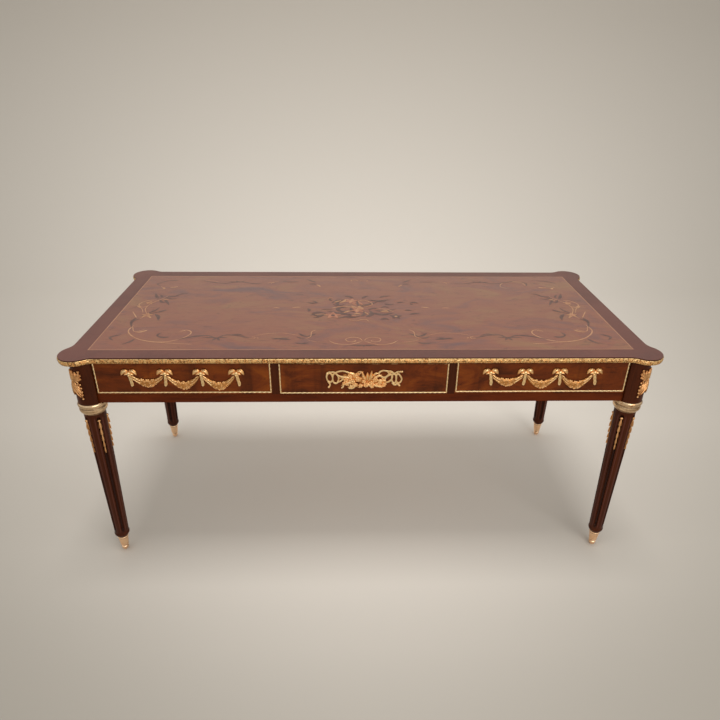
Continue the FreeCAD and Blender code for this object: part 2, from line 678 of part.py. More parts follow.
def make_sabot(corner, side, end):
    body = new_body(f"Sabot{corner}", f"{side} * {LEG_ACROSS}", f"{end} * {LEG_DEEP}")
    groove_foot = "sabot_ball_height + 2 * sabot_shoulder_height"
    groove_head = f"{groove_foot} + sabot_groove_height"
    cup_foot = f"{groove_head} + sabot_shoulder_height"
    ring_foot = "sabot_height - sabot_ring_height"
    socket_foot = "sabot_height - tenon_length - tenon_fit"
    turned(body, [
        ("0", "0"),
        ("sabot_toe_radius", "0", "sabot_ball_round", 1),
        ("sabot_ball_radius", "sabot_ball_height"),
        ("sabot_ball_radius", "sabot_ball_height + sabot_shoulder_height"),
        ("sabot_groove_radius", groove_foot),
        ("sabot_groove_radius", groove_head),
        ("sabot_cup_foot_radius", cup_foot),
        ("sabot_cup_head_radius", ring_foot),
        ("sabot_ring_radius", f"{ring_foot} + sabot_ring_height / 4", "sabot_ring_height / 3", 1),
        ("sabot_ring_radius", "sabot_height - sabot_ring_height / 4"),
        ("foot_end_radius", "sabot_height"),
        ("tenon_radius + tenon_fit", "sabot_height"),
        ("tenon_radius + tenon_fit", socket_foot),
        ("0", socket_foot),
    ])
    node(body, f"sabot_{corner}")


# Leaf drop outline: half width and depth as shares of its width and height, from the top
LEAF_SHARES = (
    (0.16, 0.00), (0.42, 0.05), (0.36, 0.15), (0.50, 0.25), (0.41, 0.36), (0.46, 0.46),
    (0.33, 0.56), (0.36, 0.65), (0.22, 0.75), (0.24, 0.84), (0.09, 0.93), (0.05, 1.00),
)
RIB_SHARES = ((0.50, 0.02), (1.00, 0.16), (0.95, 0.28), (0.45, 0.42), (0.60, 0.60), (0.30, 0.90))


def mirrored_outline(sketch, width, height, shares):
    """A symmetrical outline that hangs from the mount's top"""
    head = f"({APRON_TOP} - corner_mount_drop)"
    right = [(f"{x} * {width}", f"{head} - {y} * {height}") for x, y in shares]
    left = [(f"-{x} * {width}", f"{head} - {y} * {height}") for x, y in reversed(shares)]
    outline(sketch, right + left)


def make_corner_mount(corner, side, end, turn):
    body = new_body(f"CornerMount{corner}", f"{side} * {LEG_ACROSS}", f"{end} * {LEG_DEEP}",
                    turn + 90)
    layers = (
        ("corner_mount_relief", "corner_mount_width", LEAF_SHARES),
        ("corner_rib_relief", "corner_rib_width", RIB_SHARES),
    )
    reach = "(post_radius + corner_rib_relief + cut_overrun)"
    for relief, width, shares in layers:
        sketch = new_sketch(body, "XZ_Plane")
        mirrored_outline(sketch, width, "corner_mount_height", shares)
        feature(body, "Pad", sketch, Length=reach)
        rim = new_sketch(body, "XZ_Plane")
        rectangle(rim, (f"post_radius + {relief}", f"2 * {reach}"), (APRON_FOOT, APRON_TOP))
        trim = feature(body, "Groove", rim, Angle=360)
        trim.ReferenceAxis = (rim, ["V_Axis"])
    seat = new_sketch(body, "XZ_Plane")
    rectangle(seat, ("0", "post_radius + mount_seat"), (APRON_FOOT, APRON_TOP))
    hollow = feature(body, "Groove", seat, Angle=360)
    hollow.ReferenceAxis = (seat, ["V_Axis"])
    node(body, f"corner_mount_{corner}")


# Corner, its side and end of the table, and where its corner mount looks in degrees
CORNERS = (
    ("front_left", -1, -1, 244),
    ("front_right", 1, -1, 296),
    ("back_right", 1, 1, 64),
    ("back_left", -1, 1, 116),
)


def make_legs():
    for corner, side, end, turn in CORNERS:
        make_leg(corner, side, end)
        make_collar(corner, side, end)
        make_husks(corner, side, end)
        make_sabot(corner, side, end)
        make_corner_mount(corner, side, end, turn)


# Frame of the frieze
def make_front_frame():
    span = (f"-{POST_INNER_LONG}", POST_INNER_LONG)
    node(board("LowerRail", span, (f"-{FACE_FRONT}", f"-{FRAME_BACK}"), (APRON_FOOT, RAIL_TOP)),
         "front_lower_rail")
    upper = board("UpperRailBoard", span, (f"-{BOX_FRONT}", f"-{FRAME_BACK}"),
                  (f"{APRON_TOP} - upper_rail_height", APRON_TOP))
    node(cut("UpperRail", upper, screw_clearance("Upper", "upper_rail_height")), "front_upper_rail")
    for name, side in (("left", -1), ("right", 1)):
        body = new_body(f"Stile{name}")
        sketch = new_sketch(body, "YZ_Plane", f"{side} * ({PARTITION_INNER} + stile_width / 2)")
        step = f"{APRON_TOP} - upper_rail_height"
        outline(sketch, [
            (f"-{FACE_FRONT}", RAIL_TOP),
            (f"-{FRAME_BACK}", RAIL_TOP),
            (f"-{FRAME_BACK}", step),
            (f"-{BOX_FRONT}", step),
            (f"-{BOX_FRONT}", APRON_TOP),
            (f"-{FACE_FRONT}", APRON_TOP),
        ])
        feature(body, "Pad", sketch, Length="stile_width", Midplane=True)
        node(body, f"drawer_stile_{name}")


def make_aprons():
    for name, side in (("left", -1), ("right", 1)):
        planes = [f"{side} * ({FACE_SIDE} - apron_thickness)", f"{side} * {FACE_SIDE}"]
        low, high = planes if side > 0 else planes[::-1]
        node(board(f"SideApron{name}", (low, high), (f"-{POST_INNER_DEEP}", POST_INNER_DEEP),
                   (APRON_FOOT, APRON_TOP)), f"side_apron_{name}")
        walls = [f"{side} * {PARTITION_INNER}", f"{side} * {PARTITION_OUTER}"]
        low, high = walls if side > 0 else walls[::-1]
        node(board(f"Partition{name}", (low, high), (f"-{FRAME_BACK}", BACK_INNER),
                   (APRON_FOOT, APRON_TOP)), f"partition_{name}")
    node(board("BackApron", (f"-{POST_INNER_LONG}", POST_INNER_LONG), (BACK_INNER, FACE_FRONT),
               (APRON_FOOT, APRON_TOP)), "back_apron")


def screw_clearance(name, through):
    """Holes for the screws that pass through a rail or kicker of one height"""
    tools = []
    for k, (across, deep, depth) in enumerate(screw_places()):
        if depth == through:
            foot = f"{APRON_TOP} - {through}"
            tools.append(screw_hole(f"{name}Shank{k}", across, deep, "screw_radius + screw_fit",
                                    foot, f"{APRON_TOP} + cut_overrun"))
            tools.append(screw_hole(f"{name}Head{k}", across, deep, "screw_head_radius + screw_fit",
                                    f"{foot} - cut_overrun", f"{foot} + screw_head_height + screw_fit"))
    return fuse_all(f"{name}Holes", tools)


def make_runners():
    """Strips under and beside the drawer sides, kickers over them, and the screws of the top"""
    runners = []
    level = (f"{RAIL_TOP} - runner_height", RAIL_TOP)
    depth = (f"-{FRAME_BACK}", BACK_INNER)
    for name, side in (("Left", -1), ("Right", 1)):
        for place, inner, outer in (("Centre", f"{PARTITION_INNER} - runner_width", PARTITION_INNER),
                                    ("Side", PARTITION_OUTER, f"{PARTITION_OUTER} + runner_width")):
            low, high = (inner, outer) if side > 0 else (f"-({outer})", f"-({inner})")
            runners.append(board(f"Runner{place}{name}", (low, high), depth, level))
        body = new_body(f"RunnerOuter{name}")
        sketch = new_sketch(body, "XZ_Plane", f"{FRAME_BACK}")
        inner, wall = f"{POST_INNER_LONG} - runner_width", f"{FACE_SIDE} - apron_thickness"
        guide = f"{RAIL_TOP} + guide_height"
        outline(sketch, [(f"{side} * ({x})", z) for x, z in (
            (inner, level[0]), (wall, level[0]), (wall, guide), (POST_INNER_LONG, guide),
            (POST_INNER_LONG, RAIL_TOP), (inner, RAIL_TOP))])
        feature(body, "Pad", sketch, Length=f"{FRAME_BACK} + {POST_INNER_DEEP}", Reversed=True)
        runners.append(body)
    node(group("Runners", runners), "drawer_runners")

    kickers = []
    middle = f"({PARTITION_OUTER} + {POST_INNER_LONG}) / 2"
    for name, across in (("Left", f"-{middle}"), ("Centre", "0"), ("Right", middle)):
        width = (f"{across} - kicker_width / 2", f"{across} + kicker_width / 2")
        kickers.append(board(f"Kicker{name}", width, depth, (f"{APRON_TOP} - kicker_height", APRON_TOP)))
    node(cut("KickersDrilled", group("Kickers", kickers), screw_clearance("Kicker", "kicker_height")),
         "drawer_kickers")

    screws = []
    for k, (across, deep, through) in enumerate(screw_places()):
        foot = f"{APRON_TOP} - {through}"
        head_top, tip = f"{foot} + screw_head_height", f"{APRON_TOP} + screw_bite"
        head = screw_hole(f"ScrewHead{k}", across, deep, "screw_head_radius", foot, head_top)
        shank = screw_hole(f"ScrewShank{k}", across, deep, "screw_radius", foot, tip)
        screws.append(fuse_all(f"Screw{k}", [head, shank]))
    node(group("Screws", screws), "top_screws")


# Gilt frames and mounts
def gilt_frame(name, across, up, face, turn=0):
    """A thin rounded frame on a wooden face that looks to -Y before it is turned"""
    body = new_body(name, turn=turn)
    sketch = new_sketch(body, "XZ_Plane", face)
    rectangle(sketch, across, up)
    rectangle(sketch, (f"{across[0]} + frame_width", f"{across[1]} - frame_width"),
              (f"{up[0]} + frame_width", f"{up[1]} - frame_width"))
    pad = feature(body, "Pad", sketch, Length="frame_relief")
    doc.recompute()
    face_depth = -size(f"{face} + frame_relief")
    outer = [f"Edge{k}" for k, edge in enumerate(pad.Shape.Edges, start=1)
             if all(abs(vertex.Y - face_depth) < size("frame_relief") / 2 for vertex in edge.Vertexes)]
    rounding = body.newObject("PartDesign::Fillet", "Rounding")
    rounding.Base = (pad, outer)
    bind(rounding, "Radius", "frame_edge_round")
    return body


def oval(across, up, long, short, turn=0):
    """A flat oval, its long half-axis turned by some degrees"""
    edge = Part.Ellipse(Vector(), long, short).toShape()
    face = Part.Face(Part.Wire(edge))
    face.Placement = Placement(Vector(across, up, 0), Rotation(Vector(0, 0, 1), turn))
    return face


def ring(across, up, long, short, band, turn=0):
    """A flat oval loop of ribbon"""
    return oval(across, up, long, short, turn).cut(oval(across, up, long - band, short - band, turn))


def crescent(start, end, level, sag, fat):
    """A flat swag between two points at one level"""
    middle = (start + end) / 2
    a, b = Vector(start, level, 0), Vector(end, level, 0)
    outer = Part.Arc(a, Vector(middle, level - sag, 0), b).toShape()
    inner = Part.Arc(b, Vector(middle, level - sag + fat, 0), a).toShape()
    return Part.Face(Part.Wire([outer, inner]))


def boss(across, up, radius, relief):
    """A rounded flower on the plate"""
    ball = Part.makeSphere(radius)
    ball.Placement = Placement(Vector(across, up, relief / 2), Rotation())
    return ball


def relief_from(faces, bosses, relief):
    """Flat pieces joined to one plate, with rounded flowers on it and a flat back"""
    plate = faces[0].multiFuse(faces[1:]).removeSplitter().extrude(Vector(0, 0, relief))
    whole = plate.multiFuse(bosses) if bosses else plate
    box = whole.BoundBox
    edge = size("cut_overrun")
    slab = Part.makeBox(box.XLength + 2 * edge, box.YLength + 2 * edge, box.ZMax + edge,
                        Vector(box.XMin - edge, box.YMin - edge, 0))
    return whole.common(slab)


# Parts of a bow: place, then half length and half width, as shares of a loop, and turn in degrees
BOW_SHARES = (
    (0.40, 0.26, 0.46, 0.50, 30), (-0.40, 0.26, 0.46, 0.50, -30),
    (0.72, 0.10, 0.32, 0.28, -42), (-0.72, 0.10, 0.32, 0.28, 42),
)
# Flowers of a swag: place along it and across it, and radius as a share of a flower
SWAG_FLOWER_SHARES = (
    (-0.34, 0.10, 0.70), (-0.22, -0.20, 0.85), (-0.14, 0.26, 0.85), (-0.06, -0.22, 1.00), (0.03, 0.24, 1.00),
    (0.12, -0.22, 0.95), (0.19, 0.24, 0.80), (0.27, -0.10, 0.80), (0.36, 0.08, 0.65),
)


def swag_relief():
    """Four ribbon bows with hanging ends, and three swags of flowers between them"""
    span, bows = size("swag_span"), 4
    level, sag, fat = size("swag_bow_rise"), size("swag_sag"), size("swag_fat")
    loop, wide, relief = size("bow_loop_length"), size("bow_loop_width"), size("mount_relief")
    tail, slim = size("bow_tail_length"), size("bow_tail_width")
    flower, knot = size("mount_boss_radius"), size("bow_knot_radius")
    step = span / (bows - 1)
    places = [-span / 2 + k * step for k in range(bows)]
    faces, bosses = [], []
    for place in places:
        faces.append(oval(place, level, knot, knot))
        bosses.append(boss(place, level, knot, relief))
        for across, up, long, short, turn in BOW_SHARES:
            faces.append(oval(place + across * loop, level + up * loop, long * loop, short * wide, turn))
        faces.append(oval(place, level - tail / 2, tail / 2, slim / 2, 90))
    for start, end in zip(places, places[1:]):
        middle = (start + end) / 2
        ends = level - knot
        faces.append(crescent(start, end, ends, sag, fat))
        for along, across, share in SWAG_FLOWER_SHARES:
            fall = (sag - fat / 2) * (1 - (2 * along) ** 2)
            bosses.append(boss(middle + along * step, ends - fall + across * fat, flower * share, relief))
    return relief_from(faces, bosses, relief)


# Flowers of the centre mount: place as shares of the bouquet, and radius as a share of a flower
BOUQUET_SHARES = (
    (0.00, 0.00, 1.25), (-0.16, 0.18, 1.10), (0.16, 0.16, 1.10), (-0.14, -0.24, 1.05), (0.15, -0.22, 1.05),
    (0.02, 0.36, 0.90), (0.01, -0.38, 1.10), (-0.29, -0.02, 1.00), (0.29, 0.02, 1.00), (-0.40, 0.14, 0.75),
    (0.40, -0.12, 0.75),
)
# Ribbon loops beside the flowers as shares of half the mount: place, half sizes, turn in degrees
LOOP_SHARES = (
    (0.52, 0.56, 0.20, 0.34, 14), (0.68, -0.08, 0.08, 0.52, 24), (0.86, 0.00, 0.09, 0.50, -8),
)
# Ribbon ends that curl away as shares of half the mount: place, half sizes, turn in degrees
CURL_SHARES = (
    (0.90, 0.58, 0.10, 0.16, -20), (0.84, -0.62, 0.08, 0.20, 50), (0.60, -0.50, 0.13, 0.20, -50),
    (0.70, 0.14, 0.20, 0.14, 0),
)


def centre_relief():
    """Pierced ribbon loops on both sides of a bouquet"""
    half, tall = size("centre_mount_length") / 2, size("centre_mount_height") / 2
    wide, high = size("centre_bouquet_length"), size("centre_bouquet_height")
    relief, flower, band = size("mount_relief"), size("mount_boss_radius"), size("ribbon_width")
    faces = [oval(0, 0, wide / 2, high / 2)]
    for side in (-1, 1):
        for across, up, long, short, turn in LOOP_SHARES:
            long_here, short_here = long * half, short * tall
            if long_here < short_here:
                long_here, short_here, turn = short_here, long_here, turn + 90
            faces.append(ring(side * across * half, up * tall, long_here, short_here, band, side * turn))
        for across, up, long, short, turn in CURL_SHARES:
            faces.append(oval(side * across * half, up * tall, long * half, short * tall, side * turn))
    bosses = [boss(x * wide, y * high, share * flower, relief) for x, y, share in BOUQUET_SHARES]
    return relief_from(faces, bosses, relief)


def carved(name, shape, across, face, up, turn=0):
    """A relief set on a face that looks to -Y before it is turned about the vertical"""
    item = doc.addObject("Part::Feature", name)
    item.Shape = shape.copy()
    stand = Rotation(Vector(1, 0, 0), 90)
    around = Rotation(Vector(0, 0, 1), turn)
    place = around.multVec(Vector(across, -face, up))
    item.Placement = Placement(place, around.multiply(stand))
    return item


MOUNT_MIDDLE = f"({FRONT_FOOT} + {FRONT_TOP}) / 2 - mount_drop"


def frame_span(rise):
    """Foot and head of a gilt frame that starts some way up the drawer front"""
    return f"{FRONT_FOOT} + {rise}", f"{FRONT_FOOT} + {rise} + frame_height"


def make_drawer(name, opening, rise, relief):
    """One drawer between the two sides of its opening, low and high"""
    front = (f"{opening[0]} + front_gap", f"{opening[1]} - front_gap")
    box = (f"{opening[0]} + side_clearance", f"{opening[1]} - side_clearance")
    inner = (f"{box[0]} + side_thickness", f"{box[1]} - side_thickness")
    box_back = f"-{BOX_FRONT} + box_length"
    floor = f"{BOX_FOOT} + bottom_rise"
    floor_top = f"{floor} + bottom_thickness"
    groove = board(f"Groove{name}", (f"{inner[0]} - groove_depth", f"{inner[1]} + groove_depth"),
                   (f"-{BOX_FRONT} - groove_depth", f"{box_back} + cut_overrun"),
                   (f"{floor} - groove_fit", f"{floor_top} + groove_fit"))
    blank = board(f"Front{name}Board", front, (f"-{FACE_FRONT}", f"-{BOX_FRONT}"),
                  (FRONT_FOOT, FRONT_TOP))
    node(cut(f"Front{name}", blank, groove), f"drawer_{name}_front")
    sides = []
    for side, span in (("A", (box[0], inner[0])), ("B", (inner[1], box[1]))):
        plank = board(f"Side{name}{side}", span, (f"-{BOX_FRONT}", box_back), (BOX_FOOT, BOX_TOP))
        sides.append(plank)
    node(cut(f"Sides{name}", group(f"SideBoards{name}", sides), groove), f"drawer_{name}_sides")
    node(board(f"Back{name}", inner, (f"{box_back} - back_thickness", box_back),
               (floor_top, f"{BOX_TOP} - back_drop")), f"drawer_{name}_back")
    tongue = "(groove_depth - groove_fit)"
    node(board(f"Bottom{name}", (f"{inner[0]} - {tongue}", f"{inner[1]} + {tongue}"),
               (f"-{BOX_FRONT} - {tongue}", box_back), (floor, floor_top)), f"drawer_{name}_bottom")
    edges = (f"{front[0]} + frame_margin", f"{front[1]} - frame_margin")
    node(gilt_frame(f"Frame{name}", edges, frame_span(rise), FACE_FRONT), f"drawer_{name}_frame")
    middle = size(f"({front[0]} + {front[1]}) / 2")
    mount = carved(f"Mount{name}", relief, middle, size(FACE_FRONT), size(MOUNT_MIDDLE))
    node(mount, f"drawer_{name}_mount")


def make_drawers(swag, bouquet):
    inner, outer = PARTITION_OUTER, POST_INNER_LONG
    make_drawer("left", (f"-{outer}", f"-{inner}"), "frame_rise_side", swag)
    make_drawer("centre", (f"-{PARTITION_INNER}", PARTITION_INNER), "frame_rise_centre", bouquet)
    make_drawer("right", (inner, outer), "frame_rise_side", swag)


def make_apron_trim(swag, bouquet):
    """The back has three false drawers and each end one framed panel"""
    inset = "front_gap + frame_margin"
    inner, outer = f"{PARTITION_OUTER} + {inset}", f"{POST_INNER_LONG} - {inset}"
    centre, deep = f"{PARTITION_INNER} - {inset}", f"{POST_INNER_DEEP} - {inset}"
    panels = (
        ("BackA", (f"-({outer})", f"-({inner})"), FACE_FRONT, 180, "frame_rise_side", swag),
        ("BackB", (f"-({centre})", centre), FACE_FRONT, 180, "frame_rise_centre", bouquet),
        ("BackC", (inner, outer), FACE_FRONT, 180, "frame_rise_side", swag),
        ("EndLeft", (f"-({deep})", deep), FACE_SIDE, 270, "frame_rise_side", swag),
        ("EndRight", (f"-({deep})", deep), FACE_SIDE, 90, "frame_rise_side", swag),
    )
    frames, mounts = [], []
    for name, across, face, turn, rise, relief in panels:
        frames.append(gilt_frame(f"Frame{name}", across, frame_span(rise), face, turn))
        middle = size(f"({across[0]} + {across[1]}) / 2")
        mounts.append(carved(f"Mount{name}", relief, middle, size(face), size(MOUNT_MIDDLE), turn))
    node(group("ApronFrames", frames), "apron_frames")
    node(group("ApronMounts", mounts), "apron_mounts")


def check_and_write():
    """Stops on any failed object, then writes one file for each piece"""
    doc.recompute()
    for item in doc.Objects:
        if "Invalid" in item.State or "Error" in item.State:
            raise RuntimeError(f"{item.Name} ({item.Label}) failed: {item.State}")
    labels = [item.Label for item in NODES]
    if len(set(labels)) != len(labels):
        raise RuntimeError("two pieces share a name")
    for item in NODES:
        if item.Shape.isNull() or not item.Shape.isValid() or not item.Shape.Solids:
            raise RuntimeError(f"{item.Label} has no sound solid")
    os.makedirs("parts", exist_ok=True)
    for item in NODES:
        item.Shape.exportStep(os.path.join("parts", f"{item.Label}.step"))
    whole = FreeCAD.BoundBox()
    for item in NODES:
        whole.add(item.Shape.BoundBox)
        print(f"{item.Label}: {len(item.Shape.Solids)} solid, {item.Shape.Volume / 1000:.1f} cm3")
    print(f"{len(NODES)} pieces, {whole.XLength:.1f} x {whole.YLength:.1f} x {whole.ZLength:.1f} mm")


make_top()
make_edge_moulding()
make_legs()
make_front_frame()
make_aprons()
make_runners()
swag_shape, bouquet_shape = swag_relief(), centre_relief()
make_drawers(swag_shape, bouquet_shape)
make_apron_trim(swag_shape, bouquet_shape)
check_and_write()
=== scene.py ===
"""Looks of a flat-topped writing table: veneers, marquetry, gilt mouldings and mounts, and the studio.

Lengths are in metres, and ornament is modelled in millimetres on the surface that carries it.
"""

import logging
import math
from collections.abc import Callable, Mapping, Sequence
from dataclasses import dataclass, field, replace
from enum import Enum

import bpy
import numpy as np
from mathutils import Matrix, Vector


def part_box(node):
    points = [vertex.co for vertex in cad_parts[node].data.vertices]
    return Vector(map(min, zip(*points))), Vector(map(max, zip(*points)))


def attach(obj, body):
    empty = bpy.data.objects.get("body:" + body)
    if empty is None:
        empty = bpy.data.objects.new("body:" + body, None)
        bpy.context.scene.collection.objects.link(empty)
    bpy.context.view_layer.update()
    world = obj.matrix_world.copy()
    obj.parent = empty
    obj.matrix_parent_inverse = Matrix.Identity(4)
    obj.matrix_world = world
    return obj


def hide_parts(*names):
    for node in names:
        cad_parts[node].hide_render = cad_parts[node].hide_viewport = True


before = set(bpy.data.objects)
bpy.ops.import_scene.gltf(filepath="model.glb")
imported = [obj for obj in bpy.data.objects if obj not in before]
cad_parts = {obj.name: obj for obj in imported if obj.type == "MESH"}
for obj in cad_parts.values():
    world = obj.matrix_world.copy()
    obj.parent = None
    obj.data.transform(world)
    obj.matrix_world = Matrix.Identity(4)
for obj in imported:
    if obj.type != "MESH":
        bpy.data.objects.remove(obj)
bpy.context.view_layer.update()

log = logging.getLogger("writing_table")

Colour = tuple[float, float, float]
Point = tuple[float, float]
Triple = tuple[float, float, float]
# Points of a way as pairs, or both numbers of each in turn
Way = Sequence[Point] | Sequence[float]
# Points in rows and columns, and how near each is to the crest of its ornament
Sheet = tuple[np.ndarray, np.ndarray]

MM = 0.001


def paint(red: int, green: int, blue: int) -> Colour:
    """Turns a colour as seen on a screen, 0 to 255, into the light it reflects.

    Args:
        red: Red part.
        green: Green part.
        blue: Blue part.

    Returns:
        The linear colour.
    """
    return tuple(
        part / 12.92 if part <= 0.04045 else ((part + 0.055) / 1.055) ** 2.4
        for part in (red / 255, green / 255, blue / 255)
    )


# Shader nodes


def _maths(operation: str, swapped: bool = False) -> Callable[["Signal", "Number"], "Signal"]:
    """Makes an arithmetic method of signals.

    Args:
        operation: Operation of the Math node.
        swapped: Whether the signal is the node's second value.

    Returns:
        The method.
    """

    def method(signal: "Signal", other: "Number" = 0.0) -> "Signal":
        """Adds the node and gives its result.

        Args:
            signal: The signal whose operator it is.
            other: The other value.

        Returns:
            The node's result.
        """
        first, second = (other, signal) if swapped else (signal, other)
        made = signal.shader.node("ShaderNodeMath", {"operation": operation}, {0: first, 1: second})
        return Signal(signal.shader, made.outputs[0])

    return method


class Signal:
    """A number that changes over a surface, read from one socket."""

    __add__, __radd__ = _maths("ADD"), _maths("ADD", True)
    __sub__, __rsub__ = _maths("SUBTRACT"), _maths("SUBTRACT", True)
    __mul__, __rmul__ = _maths("MULTIPLY"), _maths("MULTIPLY", True)
    __pow__, __rpow__ = _maths("POWER"), _maths("POWER", True)
    __abs__, __gt__ = _maths("ABSOLUTE"), _maths("GREATER_THAN")

    def __init__(self, shader: "Shader", socket: bpy.types.NodeSocket) -> None:
        """Keeps the socket and the shader that it belongs to."""
        self.shader = shader
        self.socket = socket

    def rise(self, low: float, high: float) -> "Signal":
        """Climbs smoothly from 0 at low to 1 at high.

        Args:
            low: Where the climb starts.
            high: Where it ends.

        Returns:
            The smooth step.
        """
        values = {"Value": self, "From Min": low, "From Max": high}
        made = self.shader.node("ShaderNodeMapRange", {"interpolation_type": "SMOOTHSTEP"}, values)
        return Signal(self.shader, made.outputs["Result"])


Number = Signal | float


class Shader:
    """Builds the nodes of one material."""

    def __init__(self, name: str) -> None:
        """Starts an empty material with the place on the object as its first node.

        Args:
            name: The material's name.
        """
        self.material = bpy.data.materials.new(name)
        self.material.use_nodes = True
        self.tree = self.material.node_tree
        self.tree.nodes.clear()
        self.place = self.node("ShaderNodeTexCoord").outputs["Object"]

    def node(
        self,
        kind: str,
        settings: Mapping[str, object] | None = None,
        values: Mapping[str | int, object] | None = None,
    ) -> bpy.types.Node:
        """Adds a node.

        Args:
            kind: Type of the node.
            settings: Properties to set first; "stops" fills a colour ramp.
            values: Sockets to fill, by name or place, with numbers, colours, sockets or signals.

        Returns:
            The node.
        """
        made = self.tree.nodes.new(kind)
        for slot, value in (settings or {}).items():
            if slot == "stops":
                self._fill_ramp(made.color_ramp, value)
            else:
                setattr(made, slot, value)
        for slot, value in (values or {}).items():
            if isinstance(value, Signal):
                self.tree.links.new(value.socket, made.inputs[slot])
            elif isinstance(value, bpy.types.NodeSocket):
                self.tree.links.new(value, made.inputs[slot])
            else:
                made.inputs[slot].default_value = value
        return made

    @staticmethod
    def _fill_ramp(ramp: bpy.types.ColorRamp, stops: Sequence[tuple[float, Colour]]) -> None:
        """Puts the stops of a colour ramp in place of its own.

        Args:
            ramp: The ramp.
            stops: Place and colour of each stop.
        """
        while len(ramp.elements) < len(stops):
            ramp.elements.new(0.5)
        for element, (position, colour) in zip(ramp.elements, stops):
            element.position = position
            element.color = (*colour, 1.0)

    def stretched(self, factors: Triple, shift: Triple = (0.0, 0.0, 0.0)) -> bpy.types.NodeSocket:
        """The place on the object, multiplied axis by axis and then moved.

        Args:
            factors: One factor for each axis.
            shift: One distance for each axis.

        Returns:
            The new vector.
        """
        made = self.node("ShaderNodeVectorMath", {"operation": "MULTIPLY_ADD"},
                         {0: self.place, 1: factors, 2: shift})
        return made.outputs[0]

    def noise(
        self, where: bpy.types.NodeSocket, scale: float, detail: float, rough: float = 0.5, bend: float = 0.0
    ) -> Signal:
        """Cloudy noise about 0.5.

        Args:
            where: Vector that the noise is read at.
            scale: Clouds for each unit of the vector.
            detail: Octaves.
            rough: Strength of the finer octaves.
            bend: Distortion.

        Returns:
            The noise.
        """
        values = {"Vector": where, "Scale": scale, "Detail": detail, "Roughness": rough, "Distortion": bend}
        return Signal(self, self.node("ShaderNodeTexNoise", {}, values).outputs["Fac"])

    def axis(self, name: str) -> Signal:
        """One coordinate of the place on the object."""
        return Signal(self, self.node("ShaderNodeSeparateXYZ", {}, {0: self.place}).outputs[name])

    def worked(self, name: str) -> Signal:
        """A value that the mesh keeps for each of its points."""
        return Signal(self, self.node("ShaderNodeAttribute", {"attribute_name": name}).outputs["Fac"])

    def ramp(self, signal: Signal, stops: Sequence[tuple[float, Colour]]) -> bpy.types.NodeSocket:
        """Colours a signal by stops."""
        return self.node("ShaderNodeValToRGB", {"stops": stops}, {0: signal}).outputs["Color"]

    def blend(self, factor: Number, first: object, second: object) -> bpy.types.NodeSocket:
        """Mixes two colours.

        Args:
            factor: Share of the second colour.
            first: First colour.
            second: Second colour.

        Returns:
            The mixed colour.
        """
        pair = [(*colour, 1.0) if isinstance(colour, tuple) else colour for colour in (first, second)]
        values = {0: factor, 6: pair[0], 7: pair[1]}
        return self.node("ShaderNodeMix", {"data_type": "RGBA"}, values).outputs[2]

    def bump(self, height: Signal, distance: float, strength: float) -> bpy.types.NodeSocket:
        """Turns a height into a normal.

        Args:
            height: Height, 0 to 1.
            distance: How deep it is, in metres.
            strength: Share of it that shows.

        Returns:
            The normal.
        """
        values = {"Height": height, "Distance": distance, "Strength": strength}
        return self.node("ShaderNodeBump", {}, values).outputs["Normal"]

    def finish(self, values: Mapping[str, object]) -> bpy.types.Material:
        """Closes the material with a surface.

        Args:
            values: Sockets of the surface shader.

        Returns:
            The material.
        """
        surface = self.node("ShaderNodeBsdfPrincipled", {}, values)
        self.node("ShaderNodeOutputMaterial", {}, {"Surface": surface.outputs[0]})
        return self.material


# Fibres and pores in a metre, and where the colours stand on the ramps of the finishes
FIBRES = 320.0
PORES = 1500.0
WOOD_STOPS = (0.28, 0.50, 0.72)
VENEER_STOPS = (0.32, 0.50, 0.68)
GILT_STOPS = (0.10, 0.40, 0.80)


class Grain(Enum):
    """Which way the fibres of a wood run, as the stretch of its texture on each axis."""

    ALONG_X = (0.05, 1.0, 1.0)
    ALONG_Y = (1.0, 0.05, 1.0)
    ALONG_Z = (1.0, 1.0, 0.05)
    ACROSS_BORDER = (1.0, 0.06, 1.0)


